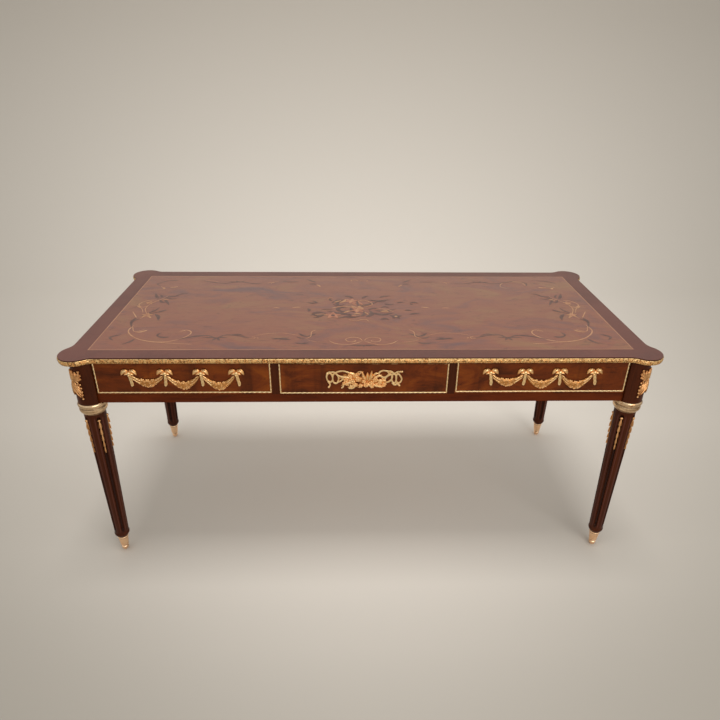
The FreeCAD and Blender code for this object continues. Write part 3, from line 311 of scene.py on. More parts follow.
@dataclass(frozen=True)
class Wood:
    """A wood, polished or plain; a border's fibres turn at its mitred corner."""

    name: str
    dark: Colour
    middle: Colour
    light: Colour
    grain: Grain = Grain.ALONG_X
    clouds: Triple = (4.0, 9.0, 9.0)
    figure: float = 0.8
    streak: float = 0.5
    bend: float = 0.6
    roughness: float = 0.38
    polish: float = 0.25
    polish_roughness: float = 0.16
    gloss: float = 0.5
    corner: Point = (0.8175, 0.3305)

    def _fibres(self, shader: Shader) -> Signal:
        """Fine fibres, which on a border run across it on every side.

        Args:
            shader: The material's nodes.

        Returns:
            The fibres.
        """
        fine = shader.noise(shader.stretched(self.grain.value), FIBRES, 5.0, 0.62)
        if self.grain is not Grain.ACROSS_BORDER:
            return fine
        turned = shader.noise(shader.stretched(Grain.ALONG_X.value), FIBRES, 5.0, 0.62)
        past_corner = abs(shader.axis("X")) - self.corner[0] - abs(shader.axis("Y")) + self.corner[1]
        on_end = past_corner > 0.0
        return on_end * turned + (1.0 - on_end) * fine

    def _painted_shading(self, shader: Shader, base: bpy.types.NodeSocket) -> bpy.types.NodeSocket:
        """Where painted shade and highlights go; a flat piece keeps its own colour."""
        return base

    def build(self) -> bpy.types.Material:
        """Builds the material.

        Returns:
            The material.
        """
        shader = Shader(self.name)
        fibres = self._fibres(shader)
        clouds = shader.noise(shader.stretched(self.clouds), 1.0, 4.0, 0.55, self.bend)
        pores = shader.noise(shader.stretched(self.grain.value), PORES, 2.0).rise(0.60, 0.72)
        tone = 0.5 + (clouds - 0.5) * self.figure + (fibres - 0.5) * self.streak
        stops = list(zip(WOOD_STOPS, (self.dark, self.middle, self.light)))
        base = self._painted_shading(shader, shader.blend(pores * 0.35, shader.ramp(tone, stops), self.dark))
        return shader.finish({
            "Base Color": base,
            "Roughness": self.roughness + (fibres - 0.5) * 0.12,
            "Normal": shader.bump(fibres - pores * 0.4, 0.00012, 0.5),
            "Specular IOR Level": self.gloss,
            "Coat Weight": self.polish,
            "Coat Roughness": self.polish_roughness,
        })


@dataclass(frozen=True, kw_only=True)
class FlutedWood(Wood):
    """Wood of a leg, with painted shade in its five flutes and a painted highlight, partly wear, on the edges
    beside them.
    """

    # Painted shade laid in the flutes
    hollow: Colour
    # Painted highlight on the flute edges, partly wear
    highlit_and_worn: Colour
    axis: Point = (0.0, 0.0)
    foot: float = 0.0
    head: float = 1.0
    foot_fade: float = 0.012
    head_fade: Point = (0.022, 0.010)

    def _painted_shading(self, shader: Shader, base: bpy.types.NodeSocket) -> bpy.types.NodeSocket:
        """Paints shade in the flutes and a highlight, partly wear, on their edges.

        Args:
            shader: The material's nodes.
            base: Colour of the wood.

        Returns:
            The colour with the painted shade and highlight.
        """
        across = abs(shader.axis("X")) - self.axis[0]
        inward = self.axis[1] - abs(shader.axis("Y"))
        cosine = inward * (across * across + inward * inward) ** -0.5
        square = cosine * cosine
        # Cosine of five times the angle
        wave = cosine * (square * (square * 16.0 - 20.0) + 5.0)
        height = shader.axis("Z")
        low, high = self.head_fade
        fluted = height.rise(self.foot, self.foot + self.foot_fade)
        fluted = fluted * (1.0 - height.rise(self.head - low, self.head - high))
        # Painted highlight on the flute edges, partly wear, then painted shade deep in the flutes
        edge = wave.rise(-0.75, -0.30) * (1.0 - wave.rise(-0.30, 0.15))
        lit = shader.blend(edge * fluted * 0.45, base, self.highlit_and_worn)
        return shader.blend(wave.rise(0.25, 0.95) * fluted * 0.7, lit, self.hollow)


@dataclass(frozen=True)
class FiguredVeneer:
    """Cloudy figured veneer with warm, tan and dull patches."""

    name: str
    dark: Colour
    warm: Colour
    tan: Colour
    dull: Colour
    clouds: Triple
    polish: float
    bands: float = 0.0
    roughness: float = 0.34
    polish_roughness: float = 0.14
    gloss: float = 0.5
    shift: Triple = (0.0, 0.0, 0.0)

    def build(self) -> bpy.types.Material:
        """Builds the material.

        Returns:
            The material.
        """
        shader = Shader(self.name)
        where = shader.stretched(self.clouds, self.shift)
        patches = shader.noise(where, 1.0, 5.0, 0.6, 1.2)
        drift = shader.noise(where, 0.55, 2.0, 0.5, 0.8)
        knots = shader.noise(where, 3.4, 4.0, 0.65, 1.8)
        fibres = shader.noise(shader.stretched((0.07, 1.0, 1.0), self.shift), 260.0, 5.0, 0.62)
        ground = shader.ramp(patches, list(zip(VENEER_STOPS, (self.dull, self.warm, self.tan))))
        ground = shader.blend(drift.rise(0.42, 0.62) * 0.55, ground, self.warm)
        ground = shader.blend(knots.rise(0.56, 0.76) * 0.55, ground, self.dark)
        if self.bands:
            stretch = (self.bands, self.bands, self.bands / 20)
            upright = shader.noise(shader.stretched(stretch, self.shift), 1.0, 4.0, 0.65)
            ground = shader.blend(upright.rise(0.50, 0.70) * 0.5, ground, self.dark)
        base = shader.blend(fibres.rise(0.52, 0.74) * 0.4, ground, self.dark)
        return shader.finish({
            "Base Color": base,
            "Roughness": self.roughness + (knots - 0.5) * 0.10,
            "Normal": shader.bump(fibres, 0.0001, 0.4),
            "Specular IOR Level": self.gloss,
            "Coat Weight": self.polish,
            "Coat Roughness": self.polish_roughness,
        })


@dataclass(frozen=True)
class Gilding:
    """Gilt or brassy metal, with painted shade in its hollows."""

    name: str
    gold: Colour
    warm: Colour
    shade: Colour
    roughness: float = 0.36
    # Whether the low points of the relief take painted shade, read from the mesh's crest
    chased: bool = True
    grit: float = 0.5
    shaded_grooves: tuple[float, ...] = ()
    groove: Point = (0.0003, 0.0014)
    mottle: float = 0.0

    def build(self) -> bpy.types.Material:
        """Builds the material.

        Returns:
            The material.
        """
        shader = Shader(self.name)
        grit = shader.noise(shader.place, 420.0, 4.0, 0.6)
        stain = shader.noise(shader.place, 60.0, 3.0, 0.55)
        # Painted shade: low points of the relief take the shade colour, crests the gold
        height = shader.worked("crest") if self.chased else 0.15 + stain * 0.95
        tone = height + (grit - 0.5) * self.grit
        base = shader.ramp(tone, list(zip(GILT_STOPS, (self.shade, self.warm, self.gold))))
        base = shader.blend(stain.rise(0.48, 0.66) * 0.3, base, self.warm)
        if self.mottle:
            specks = shader.noise(shader.place, 230.0, 2.0, 0.6)
            base = shader.blend(specks.rise(0.50, 0.60) * self.mottle, base, self.shade)
        # Painted shade: dark lines at the heights of the grooves
        for height in self.shaded_grooves:
            near = 1.0 - abs(shader.axis("Z") - height).rise(*self.groove)
            base = shader.blend(near * 0.85, base, self.shade)
        return shader.finish({
            "Base Color": base,
            "Metallic": 1.0,
            "Roughness": self.roughness + (stain - 0.5) * 0.25 + (grit - 0.5) * 0.12,
            "Normal": shader.bump(grit, 0.00015, 0.5),
        })


@dataclass(frozen=True)
class Steel:
    """Plain turned steel of the screws."""

    name: str
    tone: Colour

    def build(self) -> bpy.types.Material:
        """Builds the material.

        Returns:
            The material.
        """
        shader = Shader(self.name)
        lathe = shader.noise(shader.stretched((1.0, 1.0, 12.0)), 300.0, 3.0)
        base = shader.blend(lathe.rise(0.4, 0.7) * 0.4, self.tone, (0.06, 0.05, 0.05))
        return shader.finish({"Base Color": base, "Metallic": 1.0, "Roughness": 0.35 + lathe * 0.2})


# Colours as seen; the polish adds its own pale sheen
FIELD = FiguredVeneer(
    "field veneer", paint(73, 43, 43), paint(134, 77, 58), paint(138, 93, 62), paint(103, 67, 67),
    (4.6, 9.0, 9.0), polish=0.85, polish_roughness=0.24,
)
FRIEZE = FiguredVeneer(
    "frieze veneer", paint(44, 18, 8), paint(108, 48, 16), paint(136, 68, 20), paint(72, 32, 12),
    clouds=(7.0, 7.0, 14.0), bands=13.0, polish=0.04, gloss=0.12, shift=(3.1, 0.0, 1.7),
)
BORDER = Wood(
    "border veneer", paint(80, 48, 44), paint(101, 58, 51), paint(115, 68, 57), Grain.ACROSS_BORDER,
    (5.0, 5.0, 5.0), 0.5, 0.35, polish=0.28,
)
DARK = Wood(
    "dark polished wood", paint(52, 19, 4), paint(68, 27, 6), paint(84, 36, 10), Grain.ALONG_Z,
    (18.0, 18.0, 3.0), 0.6, 0.6, polish=0.04, gloss=0.12,
)
# The leg's flutes take painted shade and their edges a painted highlight, partly wear
LEG = FlutedWood(
    "fluted leg wood", DARK.dark, DARK.middle, DARK.light, DARK.grain, DARK.clouds, DARK.figure, DARK.streak,
    polish=DARK.polish, gloss=DARK.gloss, hollow=paint(26, 10, 6), highlit_and_worn=paint(104, 62, 54),
)
LIP = Wood(
    "lip of the top", paint(50, 22, 10), paint(66, 32, 14), paint(84, 42, 18), polish=0.1, gloss=0.2,
)
RAIL = Wood(
    "red rail veneer", paint(68, 23, 3), paint(90, 34, 5), paint(106, 43, 9), Grain.ALONG_X,
    (6.0, 20.0, 20.0), 0.8, 0.5, polish=0.04, gloss=0.12,
)
STRINGING = Wood(
    "light stringing", paint(146, 100, 74), paint(165, 117, 88), paint(184, 134, 100), polish=0.4,
)
BOXWOOD = Wood(
    "light inlay", paint(154, 104, 72), paint(176, 126, 90), paint(194, 148, 108), Grain.ALONG_X,
    (30.0, 30.0, 30.0), 0.9, 0.4, polish=0.45,
)
STAINED = Wood(
    "stained leaf inlay", paint(76, 48, 46), paint(90, 60, 54), paint(106, 76, 66), Grain.ALONG_Y,
    (40.0, 40.0, 40.0), 0.9, 0.5, polish=0.45,
)
ROSE = Wood(
    "rose inlay", paint(140, 84, 62), paint(164, 104, 78), paint(184, 126, 96), Grain.ALONG_Y,
    (50.0, 50.0, 50.0), 1.0, 0.3, polish=0.45,
)
AMBER = Wood(
    "amber inlay", paint(146, 98, 66), paint(168, 118, 82), paint(188, 142, 104), Grain.ALONG_X,
    (50.0, 50.0, 50.0), 1.0, 0.3, polish=0.45,
)
OAK = Wood(
    "plain inner wood", paint(128, 96, 62), paint(158, 122, 82), paint(178, 142, 100), Grain.ALONG_Y,
    (9.0, 3.0, 9.0), 0.7, 0.6, roughness=0.62, polish=0.0,
)
GILT = Gilding("chased gilding", paint(255, 220, 162), paint(238, 166, 94), paint(76, 34, 10))
GILT_EDGE = Gilding(
    "edge gilding", paint(255, 214, 148), paint(255, 176, 100), paint(104, 44, 12), mottle=0.75,
)
GILT_RED = Gilding("reddish gilding", paint(238, 184, 126), paint(190, 126, 74), paint(58, 28, 12))
GILT_LINE = Gilding(
    "light gilding", paint(255, 226, 174), paint(255, 208, 146), paint(96, 50, 24), roughness=0.42, grit=0.3,
)
GILT_FOOT = Gilding(
    "matt gilding", paint(255, 222, 184), paint(246, 196, 150), paint(84, 48, 28), chased=False, grit=0.3,
)
COLLAR = Gilding(
    "toned brass", paint(252, 222, 180), paint(172, 128, 86), paint(80, 52, 32), roughness=0.2, chased=False,
)
SCREW = Steel("screw steel", (0.42, 0.41, 0.40))


# Surfaces that carry ornament


@dataclass(frozen=True)
class Panel:
    """A flat upright face; turned by 0 degrees it looks to the front."""

    middle: Triple
    turn: float = 0.0

    def lay(self, design: np.ndarray) -> np.ndarray:
        """Puts points of a design on the face.

        Args:
            design: Right, up and out of each point, in millimetres.

        Returns:
            The points in metres.
        """
        angle = math.radians(self.turn)
        right = np.array((math.cos(angle), math.sin(angle), 0.0))
        out = np.array((math.sin(angle), -math.cos(angle), 0.0))
        up = np.array((0.0, 0.0, 1.0))
        across, high, proud = (design[..., k, None] * MM for k in range(3))
        return np.array(self.middle) + across * right + high * up + proud * out


@dataclass(frozen=True)
class Post:
    """A round upright post; the middle of the design is at an angle about its axis."""

    axis: Point
    radius: float
    height: float
    turn: float
    mirrored: bool = False

    def lay(self, design: np.ndarray) -> np.ndarray:
        """Wraps points of a design round the post.

        Args:
            design: Right, up and out of each point, in millimetres.

        Returns:
            The points in metres.
        """
        sign = -1.0 if self.mirrored else 1.0
        angle = math.radians(self.turn) + sign * design[..., 0] * MM / self.radius
        reach = self.radius + design[..., 2] * MM
        return np.stack((
            self.axis[0] + reach * np.cos(angle),
            self.axis[1] + reach * np.sin(angle),
            self.height + design[..., 1] * MM,
        ), axis=-1)


def smooth_way(points: Way, count: int, closed: bool = False) -> np.ndarray:
    """Even points along a smooth curve.

    Args:
        points: Points that the curve goes through.
        count: How many points to give.
        closed: Whether the curve ends where it starts.

    Returns:
        The points, one row each.
    """
    marks = np.array(points, float).reshape(-1, 2)
    if closed:
        marks = np.vstack((marks[-1], marks, marks[0], marks[1]))
    else:
        marks = np.vstack((2 * marks[0] - marks[1], marks, 2 * marks[-1] - marks[-2]))
    share = np.linspace(0.0, 1.0, 24, endpoint=False)[:, None]
    runs = []
    for a, b, c, d in zip(marks, marks[1:], marks[2:], marks[3:]):
        square, cube = (2 * a - 5 * b + 4 * c - d) * share**2, (3 * b - a - 3 * c + d) * share**3
        runs.append(0.5 * (2 * b + (c - a) * share + square + cube))
    curve = np.vstack((*runs, marks[-2]))
    length = np.concatenate(([0.0], np.cumsum(np.linalg.norm(np.diff(curve, axis=0), axis=1))))
    even = np.linspace(0.0, length[-1], count)
    return np.column_stack([np.interp(even, length, curve[:, k]) for k in range(2)])


def sideways(way: np.ndarray, closed: bool = False) -> np.ndarray:
    """Unit vectors to the left of a way.

    Args:
        way: Points of the way.
        closed: Whether it ends where it starts.

    Returns:
        One vector for each point.
    """
    if closed:
        ahead = np.roll(way[:-1], -1, axis=0) - np.roll(way[:-1], 1, axis=0)
        ahead = np.vstack((ahead, ahead[0]))
    else:
        ahead = np.gradient(way, axis=0)
    ahead /= np.maximum(np.linalg.norm(ahead, axis=1), 1e-9)[:, None]
    return np.column_stack((-ahead[:, 1], ahead[:, 0]))


def beside(line: np.ndarray, left: np.ndarray, half: np.ndarray, share: np.ndarray) -> np.ndarray:
    """Points of a band along a way.

    Args:
        line: Points of the way.
        left: Unit vector to the left of each.
        half: Half width of the band at each.
        share: Shares of the half width, from right to left.

    Returns:
        Both coordinates of the points, which have a row for each point of the way.
    """
    return np.moveaxis(line[:, None] + left[:, None] * half[:, None, None] * share[:, None], -1, 0)


Surface = Panel | Post


class Casting:
    """Cast and chased ornament that lies on a surface, in millimetres."""

    def __init__(self) -> None:
        """Starts with nothing."""
        self.patches: list[Sheet] = []

    def _patch(self, across: np.ndarray, up: np.ndarray, out: np.ndarray, tallest: float) -> None:
        """Keeps one sheet of points, with how near each is to the crest."""
        self.patches.append((np.stack((across, up, out), axis=-1), np.clip(out / tallest, 0.0, 1.0)))

    def strip(
        self,
        way: Way,
        width: Callable[[np.ndarray], np.ndarray],
        rise: Callable[[np.ndarray, np.ndarray], np.ndarray],
        steps: int = 14,
        ribs: int = 9,
        closed: bool = False,
        shaded: bool = False,
    ) -> None:
        """A raised strip along a smooth way.

        Args:
            way: Points of the way.
            width: Half width at each share of the way.
            rise: Height at each share of the way and of the half width.
            steps: Points along it.
            ribs: Points across it.
            closed: Whether it ends where it starts.
            shaded: Whether it is a ground under other ornament, kept dark as painted shade.
        """
        line = smooth_way(way, steps, closed)
        along = np.linspace(0.0, 1.0, steps)
        share = np.linspace(-1.0, 1.0, ribs)
        across, up = beside(line, sideways(line, closed), width(along), share)
        out = rise(along[:, None], share[None, :]) * np.ones_like(across)
        # A shaded ground keeps a low crest, so it takes painted shade
        self._patch(across, up, out, max(float(out.max()), 0.1) * (3.0 if shaded else 1.0))

    def leaf(self, way: Way, width: float, height: float, lobes: int = 0, lift: float = 0.0) -> None:
        """A leaf with a midrib, and lobes along its edge if asked.

        Args:
            way: Midrib from stalk to tip.
            width: Widest part.
            height: Highest part.
            lobes: Lobes on each side.
            lift: How far it stands off what lies below.
        """

        def half(along: np.ndarray) -> np.ndarray:
            """Half width, notched between the lobes.

            Args:
                along: Place along the leaf, 0 to 1.

            Returns:
                The half width.
            """
            swell = np.sin(np.pi * np.clip(along, 0.0, 1.0) ** 0.85) ** 0.75
            notch = 1.0 - (0.30 * np.abs(np.sin(np.pi * lobes * along)) ** 3 if lobes else 0.0)
            return width / 2 * np.maximum(swell * notch, 0.03)

        def rise(along: np.ndarray, share: np.ndarray) -> np.ndarray:
            """Height, with the midrib and the veins.

            Args:
                along: Place along the leaf, 0 to 1.
                share: Place across it, -1 to 1.

            Returns:
                The height.
            """
            body = (0.45 + 0.55 * np.sin(np.pi * along) ** 0.6) * (1.0 - np.abs(share) ** 3)
            groove = 0.20 * np.exp(-(((np.abs(share) - 0.34) / 0.14) ** 2))
            rib = 0.22 * np.exp(-((share / 0.16) ** 2)) - groove
            vein = 0.08 * np.cos(2 * np.pi * ((lobes or 4) * along - 0.8 * np.abs(share)))
            return height * np.maximum(body * (1.0 + rib + vein), 0.0) + lift * (1.0 - np.abs(share) ** 6)

        self.strip(way, half, rise, 18 if lobes else 13, 11)

    def ribbon(self, way: Way, width: float, height: float, closed: bool = False) -> None:
        """A folded ribbon with rolled edges.

        Args:
            way: Its middle line.
            width: Its width.
            height: Its height over the ground.
            closed: Whether it is a loop.
        """

        def half(along: np.ndarray) -> np.ndarray:
            """Half width, narrow at open ends."""
            ends = 1.0 if closed else np.clip(np.minimum(along, 1.0 - along) * 9.0 + 0.35, 0.0, 1.0)
            return width / 2 * ends * (1.0 + 0.10 * np.sin(2 * np.pi * 3 * along))

        def rise(along: np.ndarray, share: np.ndarray) -> np.ndarray:
            """Height, with rolled edges."""
            rolled = (0.72 + 0.28 * share**2) * (1.0 - np.abs(share) ** 7)
            return height * rolled * (1.0 + 0.12 * np.cos(2 * np.pi * 3 * along))

        self.strip(way, half, rise, 10 + 5 * (np.size(way) // 2), closed=closed)

    def bloom(self, place: Point, radius: float, height: float, petals: int, turn: float = 0.0) -> None:
        """A rosette with petals round a button.

        Args:
            place: Its middle.
            radius: Its reach.
            height: Its height.
            petals: Number of petals; none gives a smooth bead.
            turn: Turn of the petals in degrees.
        """
        share = np.linspace(0.0, 1.0, 9)[:, None]
        angle = np.linspace(0.0, 2 * np.pi, 8 * max(petals, 3) + 1)[None, :]
        if petals:
            wave = np.abs(np.cos(petals * (angle - math.radians(turn)) / 2))
            reach = radius * (0.74 + 0.26 * wave**0.6)
            cup = (1.0 - share**5) * (0.62 + 0.38 * wave**0.7 * share) + 0.25 * share * (1.0 - share)
            button = 0.55 * np.exp(-((share / 0.20) ** 2)) - 0.30 * np.exp(-(((share - 0.36) / 0.10) ** 2))
            out = height * np.maximum(cup + button * (1.0 - share), 0.0) / 1.25
        else:
            reach = radius * np.ones_like(angle)
            out = height * np.sqrt(np.maximum(1.0 - share**2, 0.0)) * np.ones_like(angle)
        across = place[0] + share * reach * np.cos(angle)
        up = place[1] + share * reach * np.sin(angle)
        self._patch(across, up, out, height)

    def sheets(self, surfaces: Sequence[Surface]) -> list[Sheet]:
        """The ornament's sheets, laid on each surface in turn."""
        return [(surface.lay(design), crest) for surface in surfaces for design, crest in self.patches]

    def object(self, name: str, surfaces: Sequence[Surface]) -> bpy.types.Object:
        """Makes one mesh object with the ornament on each surface.

        Args:
            name: Name of the object.
            surfaces: Where the ornament goes.

        Returns:
            The object.
        """
        return sheet_object(name, self.sheets(surfaces))


def sheet_object(name: str, sheets: Sequence[Sheet]) -> bpy.types.Object:
    """One smooth mesh object from sheets of points.

    Args:
        name: Name of the object.
        sheets: Its sheets.

    Returns:
        The object.
    """
    points, faces, crests, start = [], [], [], 0
    for sheet, crest in sheets:
        rows, columns = sheet.shape[:2]
        points.append(sheet.reshape(-1, 3))
        crests.append(crest.reshape(-1))
        corner = np.arange(rows - 1)[:, None] * columns + np.arange(columns - 1)[None, :]
        corner = corner.reshape(-1) + start
        faces.append(np.column_stack((corner, corner + 1, corner + columns + 1, corner + columns)))
        start += rows * columns
    mesh = bpy.data.meshes.new(name)
    mesh.from_pydata(np.vstack(points).tolist(), [], np.vstack(faces).tolist())
    kept = mesh.attributes.new("crest", "FLOAT", "POINT")
    kept.data.foreach_set("value", np.concatenate(crests).astype("f"))
    mesh.shade_smooth()
    made = bpy.data.objects.new(name, mesh)
    bpy.context.scene.collection.objects.link(made)
    return made


class Workshop:
    """Builds each finish once and sets pieces on their bodies."""

    def __init__(self) -> None:
        """Starts with no finish built."""
        self.built: dict[str, bpy.types.Material] = {}

    def finish(self, kind: "Finish") -> bpy.types.Material:
        """The material of a finish, built when it is first asked for.

        Args:
            kind: The finish.

        Returns:
            Its material.
        """
        if kind.name not in self.built:
            self.built[kind.name] = kind.build()
        return self.built[kind.name]

    def dress(self, kind: "Finish", *nodes: str) -> None:
        """Gives pieces of the model their finish.

        Args:
            kind: The finish.
            nodes: Names of the pieces.
        """
        for name in nodes:
            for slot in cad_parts[name].material_slots:
                slot.material = self.finish(kind)
            log.info("%s: %s", name, kind.name)

    def mount(
        self, made: bpy.types.Object, kind: "Finish", body: str, *replaced: str, slot: str = "gilt_bronze"
    ) -> None:
        """Sets a new piece on its body.

        Args:
            made: The piece.
            kind: Its finish.
            body: The body it moves with.
            replaced: Pieces of the model that it stands for.
            slot: Material slot of the record; not used.
        """
        made.data.materials.append(self.finish(kind))
        if replaced:
            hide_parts(*replaced)
        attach(made, body)
        log.info("%s: %s, on %s, %d faces", made.name, kind.name, body, len(made.data.polygons))


Finish = Wood | FiguredVeneer | Gilding | Steel

CARCASS = "carcass"
DRAWERS = ("left", "centre", "right")
CORNERS = (
    ("front_left", -1, -1, 244.0),
    ("front_right", 1, -1, 296.0),
    ("back_right", 1, 1, 64.0),
    ("back_left", -1, 1, 116.0),
)


# Table top


class Tone(Enum):
    """Woods of the marquetry, each with its finish and the record's slot."""

    LIGHT = (BOXWOOD, "light_line")
    LEAF = (STAINED, "dark_wood")
    ROSE = (ROSE, "border_veneer")
    AMBER = (AMBER, "light_line")


@dataclass
class Marquetry:
    """Scrolls, sprigs and bouquets let into the field, drawn in millimetres from its middle."""

    level: float = 0.77008
    # Rise in millimetres from each sheet to the next, so that none are at one level
    hair: float = 0.0016
    shrink: Point = (0.9895, 0.993)
    line_half: float = 0.42
    leaf_half: float = 0.40
    leaf_steps: int = 14
    sheets: dict[Tone, list[Sheet]] = field(default_factory=dict)
    cut: int = 0

    def _lay(self, tone: Tone, across: np.ndarray, deep: np.ndarray, both: bool) -> None:
        """Keeps a flat sheet, and its mirror image if asked, each a hair above the one before.

        Args:
            tone: Its wood.
            across: Its points' places to the right.
            deep: Their places to the back.
            both: Whether the other half has its mirror image.
        """
        for side in (1, -1) if both else (1,):
            self.cut += 1
            height = np.full_like(across, self.level / MM + self.cut * self.hair)
            sheet = np.stack((side * across * self.shrink[0], deep * self.shrink[1], height), axis=-1) * MM
            sheet = sheet if side > 0 else sheet[::-1]
            self.sheets.setdefault(tone, []).append((sheet, np.ones(sheet.shape[:2])))

    def _band(self, tone: Tone, way: Way, half: np.ndarray, both: bool) -> None:
        """Lays a sheet along a way, with its half width at even steps."""
        line = smooth_way(way, len(half))
        self._lay(tone, *beside(line, sideways(line), half, np.array((-1.0, 1.0))), both)

    def lines(self, tone: Tone, *strokes: Sequence[float], both: bool = True) -> None:
        """Lines that thin at both ends.

        Args:
            tone: Their wood.
            strokes: Each line's width in the middle, and then its way.
            both: Whether the other half has their mirror images.
        """
        for width, *way in strokes:
            along = np.linspace(0.0, 1.0, 8 * (len(way) // 2))
            thinned = np.clip(np.minimum(along, 1.0 - along) * 8.0 + 0.25, 0.0, 1.0)
            self._band(tone, way, width * self.line_half * thinned, both)

    def leaves(self, tone: Tone, *strokes: Sequence[float], both: bool = True) -> None:
        """Pointed leaves.

        Args:
            tone: Their wood.
            strokes: Each leaf's widest part, and then the way of its midrib.
            both: Whether the other half has their mirror images.
        """
        along = np.linspace(0.0, 1.0, self.leaf_steps)
        swell = np.maximum(np.sin(np.pi * along**0.8) ** 0.9, 0.02)
        for width, *way in strokes:
            self._band(tone, way, width * self.leaf_half * swell, both)

    def flower(self, tone: Tone, place: Point, radius: float, petals: int, both: bool, eye: Tone) -> None:
        """A flower of single petals round an eye.

        Args:
            tone: Wood of its petals.
            place: Its middle.
            radius: Its reach.
            petals: Number of petals.
            both: Whether the other half has its mirror image.
            eye: Wood of its eye.
        """
        for k in range(petals):
            angle = 2 * math.pi * k / petals + 0.3
            tip = (place[0] + radius * math.cos(angle), place[1] + radius * math.sin(angle))
            self.leaves(tone, (radius * 3.4 / petals, *place, *tip), both=both)
        angle = np.linspace(0.0, 2 * np.pi, 13)[None, :]
        share = np.array((0.0, 1.0))[:, None]
        self._lay(eye, place[0] + radius * 0.24 * share * np.cos(angle),
                  place[1] + radius * 0.24 * share * np.sin(angle), both)

    def _corners(self) -> None:
        """Large scrolls in the front corners and smaller ones at the back."""
        self.lines(
            Tone.LIGHT,
            (5, 745, -150, 750, -190, 735, -222, 705, -252, 670, -270, 630, -278, 592, -270, 562, -246, 547,
             -218, 552, -197, 568, -189, 580, -203), (3, 650, -276, 590, -286, 525, -294),
            (4, 786, -34, 773, -58, 755, -90), (3, 745, -165, 728, -200, 700, -184),
            (2.5, 586, -202, 576, -190, 568, -196),
        )
        self.lines(
            Tone.LIGHT, (3, 646, 225, 640, 262, 600, 275, 561, 252, 546, 222, 556, 203, 580, 197),
            both=False,
        )
        self.lines(Tone.LEAF, (6, -768, 256, -778, 240, -763, 222), both=False)
        self.lines(Tone.LIGHT, (2.5, -606, 276, -575, 277, -545, 264), both=False)
        self.lines(Tone.LIGHT, (3.5, 756, 214, 745, 200, 735, 196))
        self.leaves(Tone.AMBER, (12, 690, -188, 706, -202, 724, -208))
        self.leaves(
            Tone.LEAF, (12, 756, -84, 762, -122, 748, -168), (12, 762, -222, 790, -244, 772, -268),
            (12, 710, -256, 722, -280, 740, -292), (13, 606, -242, 630, -244, 652, -230),
            (9, 646, -236, 648, -222, 640, -208),
        )
        self.leaves(Tone.LEAF, (8, 640, 268, 656, 250, 648, 222), both=False)
        self.lines(Tone.LEAF, (7, 707, 282, 745, 276, 774, 250))
        self.leaves(Tone.AMBER, (12, 692, 212, 706, 205, 722, 204), (10, 748, 204, 738, 192, 744, 184))

    def _waves(self) -> None:
        """Dark waves with leaves along the front and the back."""
        self.lines(
            Tone.LEAF, (7, 582, -262, 535, -240, 489, -232, 459, -250, 438, -228, 400, -231, 355, -250),
        )
        self.leaves(
            Tone.LEAF, (11, 459, -246, 446, -268), (11, 459, -246, 470, -270), (9, 459, -246, 424, -244),
            (9, 459, -246, 505, -246), (10, 560, -252, 530, -236, 500, -226),
            (9, 420, -226, 396, -222, 372, -236),
        )
        self.lines(
            Tone.LIGHT, (3, 352, -240, 340, -244, 344, -256, 358, -252), (4, 334, -247, 328, -252),
            (2.5, 345, -232, 300, -216, 253, -213, 205, -230),
        )
        self.leaves(Tone.LEAF, (14, 226, -262, 256, -256, 290, -250), (8, 230, -248, 256, -252, 286, -262))
        self.lines(
            Tone.LEAF, (6, 619, 282, 562, 258, 521, 248, 497, 258, 466, 268, 439, 258, 404, 246, 373, 253),
        )
        self.leaves(Tone.LEAF, (8, 470, 262, 484, 280), (8, 470, 262, 446, 276), (8, 470, 262, 512, 268))
        self.lines(Tone.LIGHT, (3, 356, 252, 344, 262, 330, 258))
        self.lines(Tone.LEAF, (7, 300, 270, 276, 266, 237, 268))
        self.lines(Tone.LIGHT, (2.5, 314, 270, 336, 262, 343, 244))

    def _sprigs(self) -> None:
        """Three-leaved sprigs, and single leaves in the open field."""
        self.leaves(
            Tone.LEAF, (12, 174, -240, 190, -232, 207, -212), (11, 176, -242, 160, -226, 146, -216),
            (12, 168, -284, 190, -290, 214, -284), (9, 182, -250, 196, -250, 212, -240),
        )
        self.lines(
            Tone.LIGHT, (3.5, 182, -256, 166, -238, 164, -204, 150, -187),
            (2, 178, -262, 150, -276, 118, -282),
        )
        self.leaves(Tone.LEAF, (11, 168, 262, 186, 276, 208, 298), (12, 166, 240, 180, 244, 198, 242))
        self.leaves(Tone.AMBER, (11, 166, 236, 156, 224, 150, 208))
        self.leaves(Tone.LIGHT, (7, 284, -4, 298, 0, 314, -3), (8, 212, 6, 228, 4, 244, -2))

    def _volutes(self) -> None:
        """A pair of light volutes at the middle of the front, and a small one at the back."""
        self.lines(
            Tone.LIGHT, (3.5, 3, -270, 12, -252, 34, -245, 54, -256, 50, -273, 34, -279, 24, -271, 34, -264),
            (4, 6, -276, 44, -297, 84, -291, 107, -270), (3, 2, 276, 14, 288, 32, 284, 28, 272),
        )
        self.leaves(Tone.LEAF, (8, 0, -300, 0, -316), (8, 0, -300, 24, -308), (8, 0, -300, 44, -304))

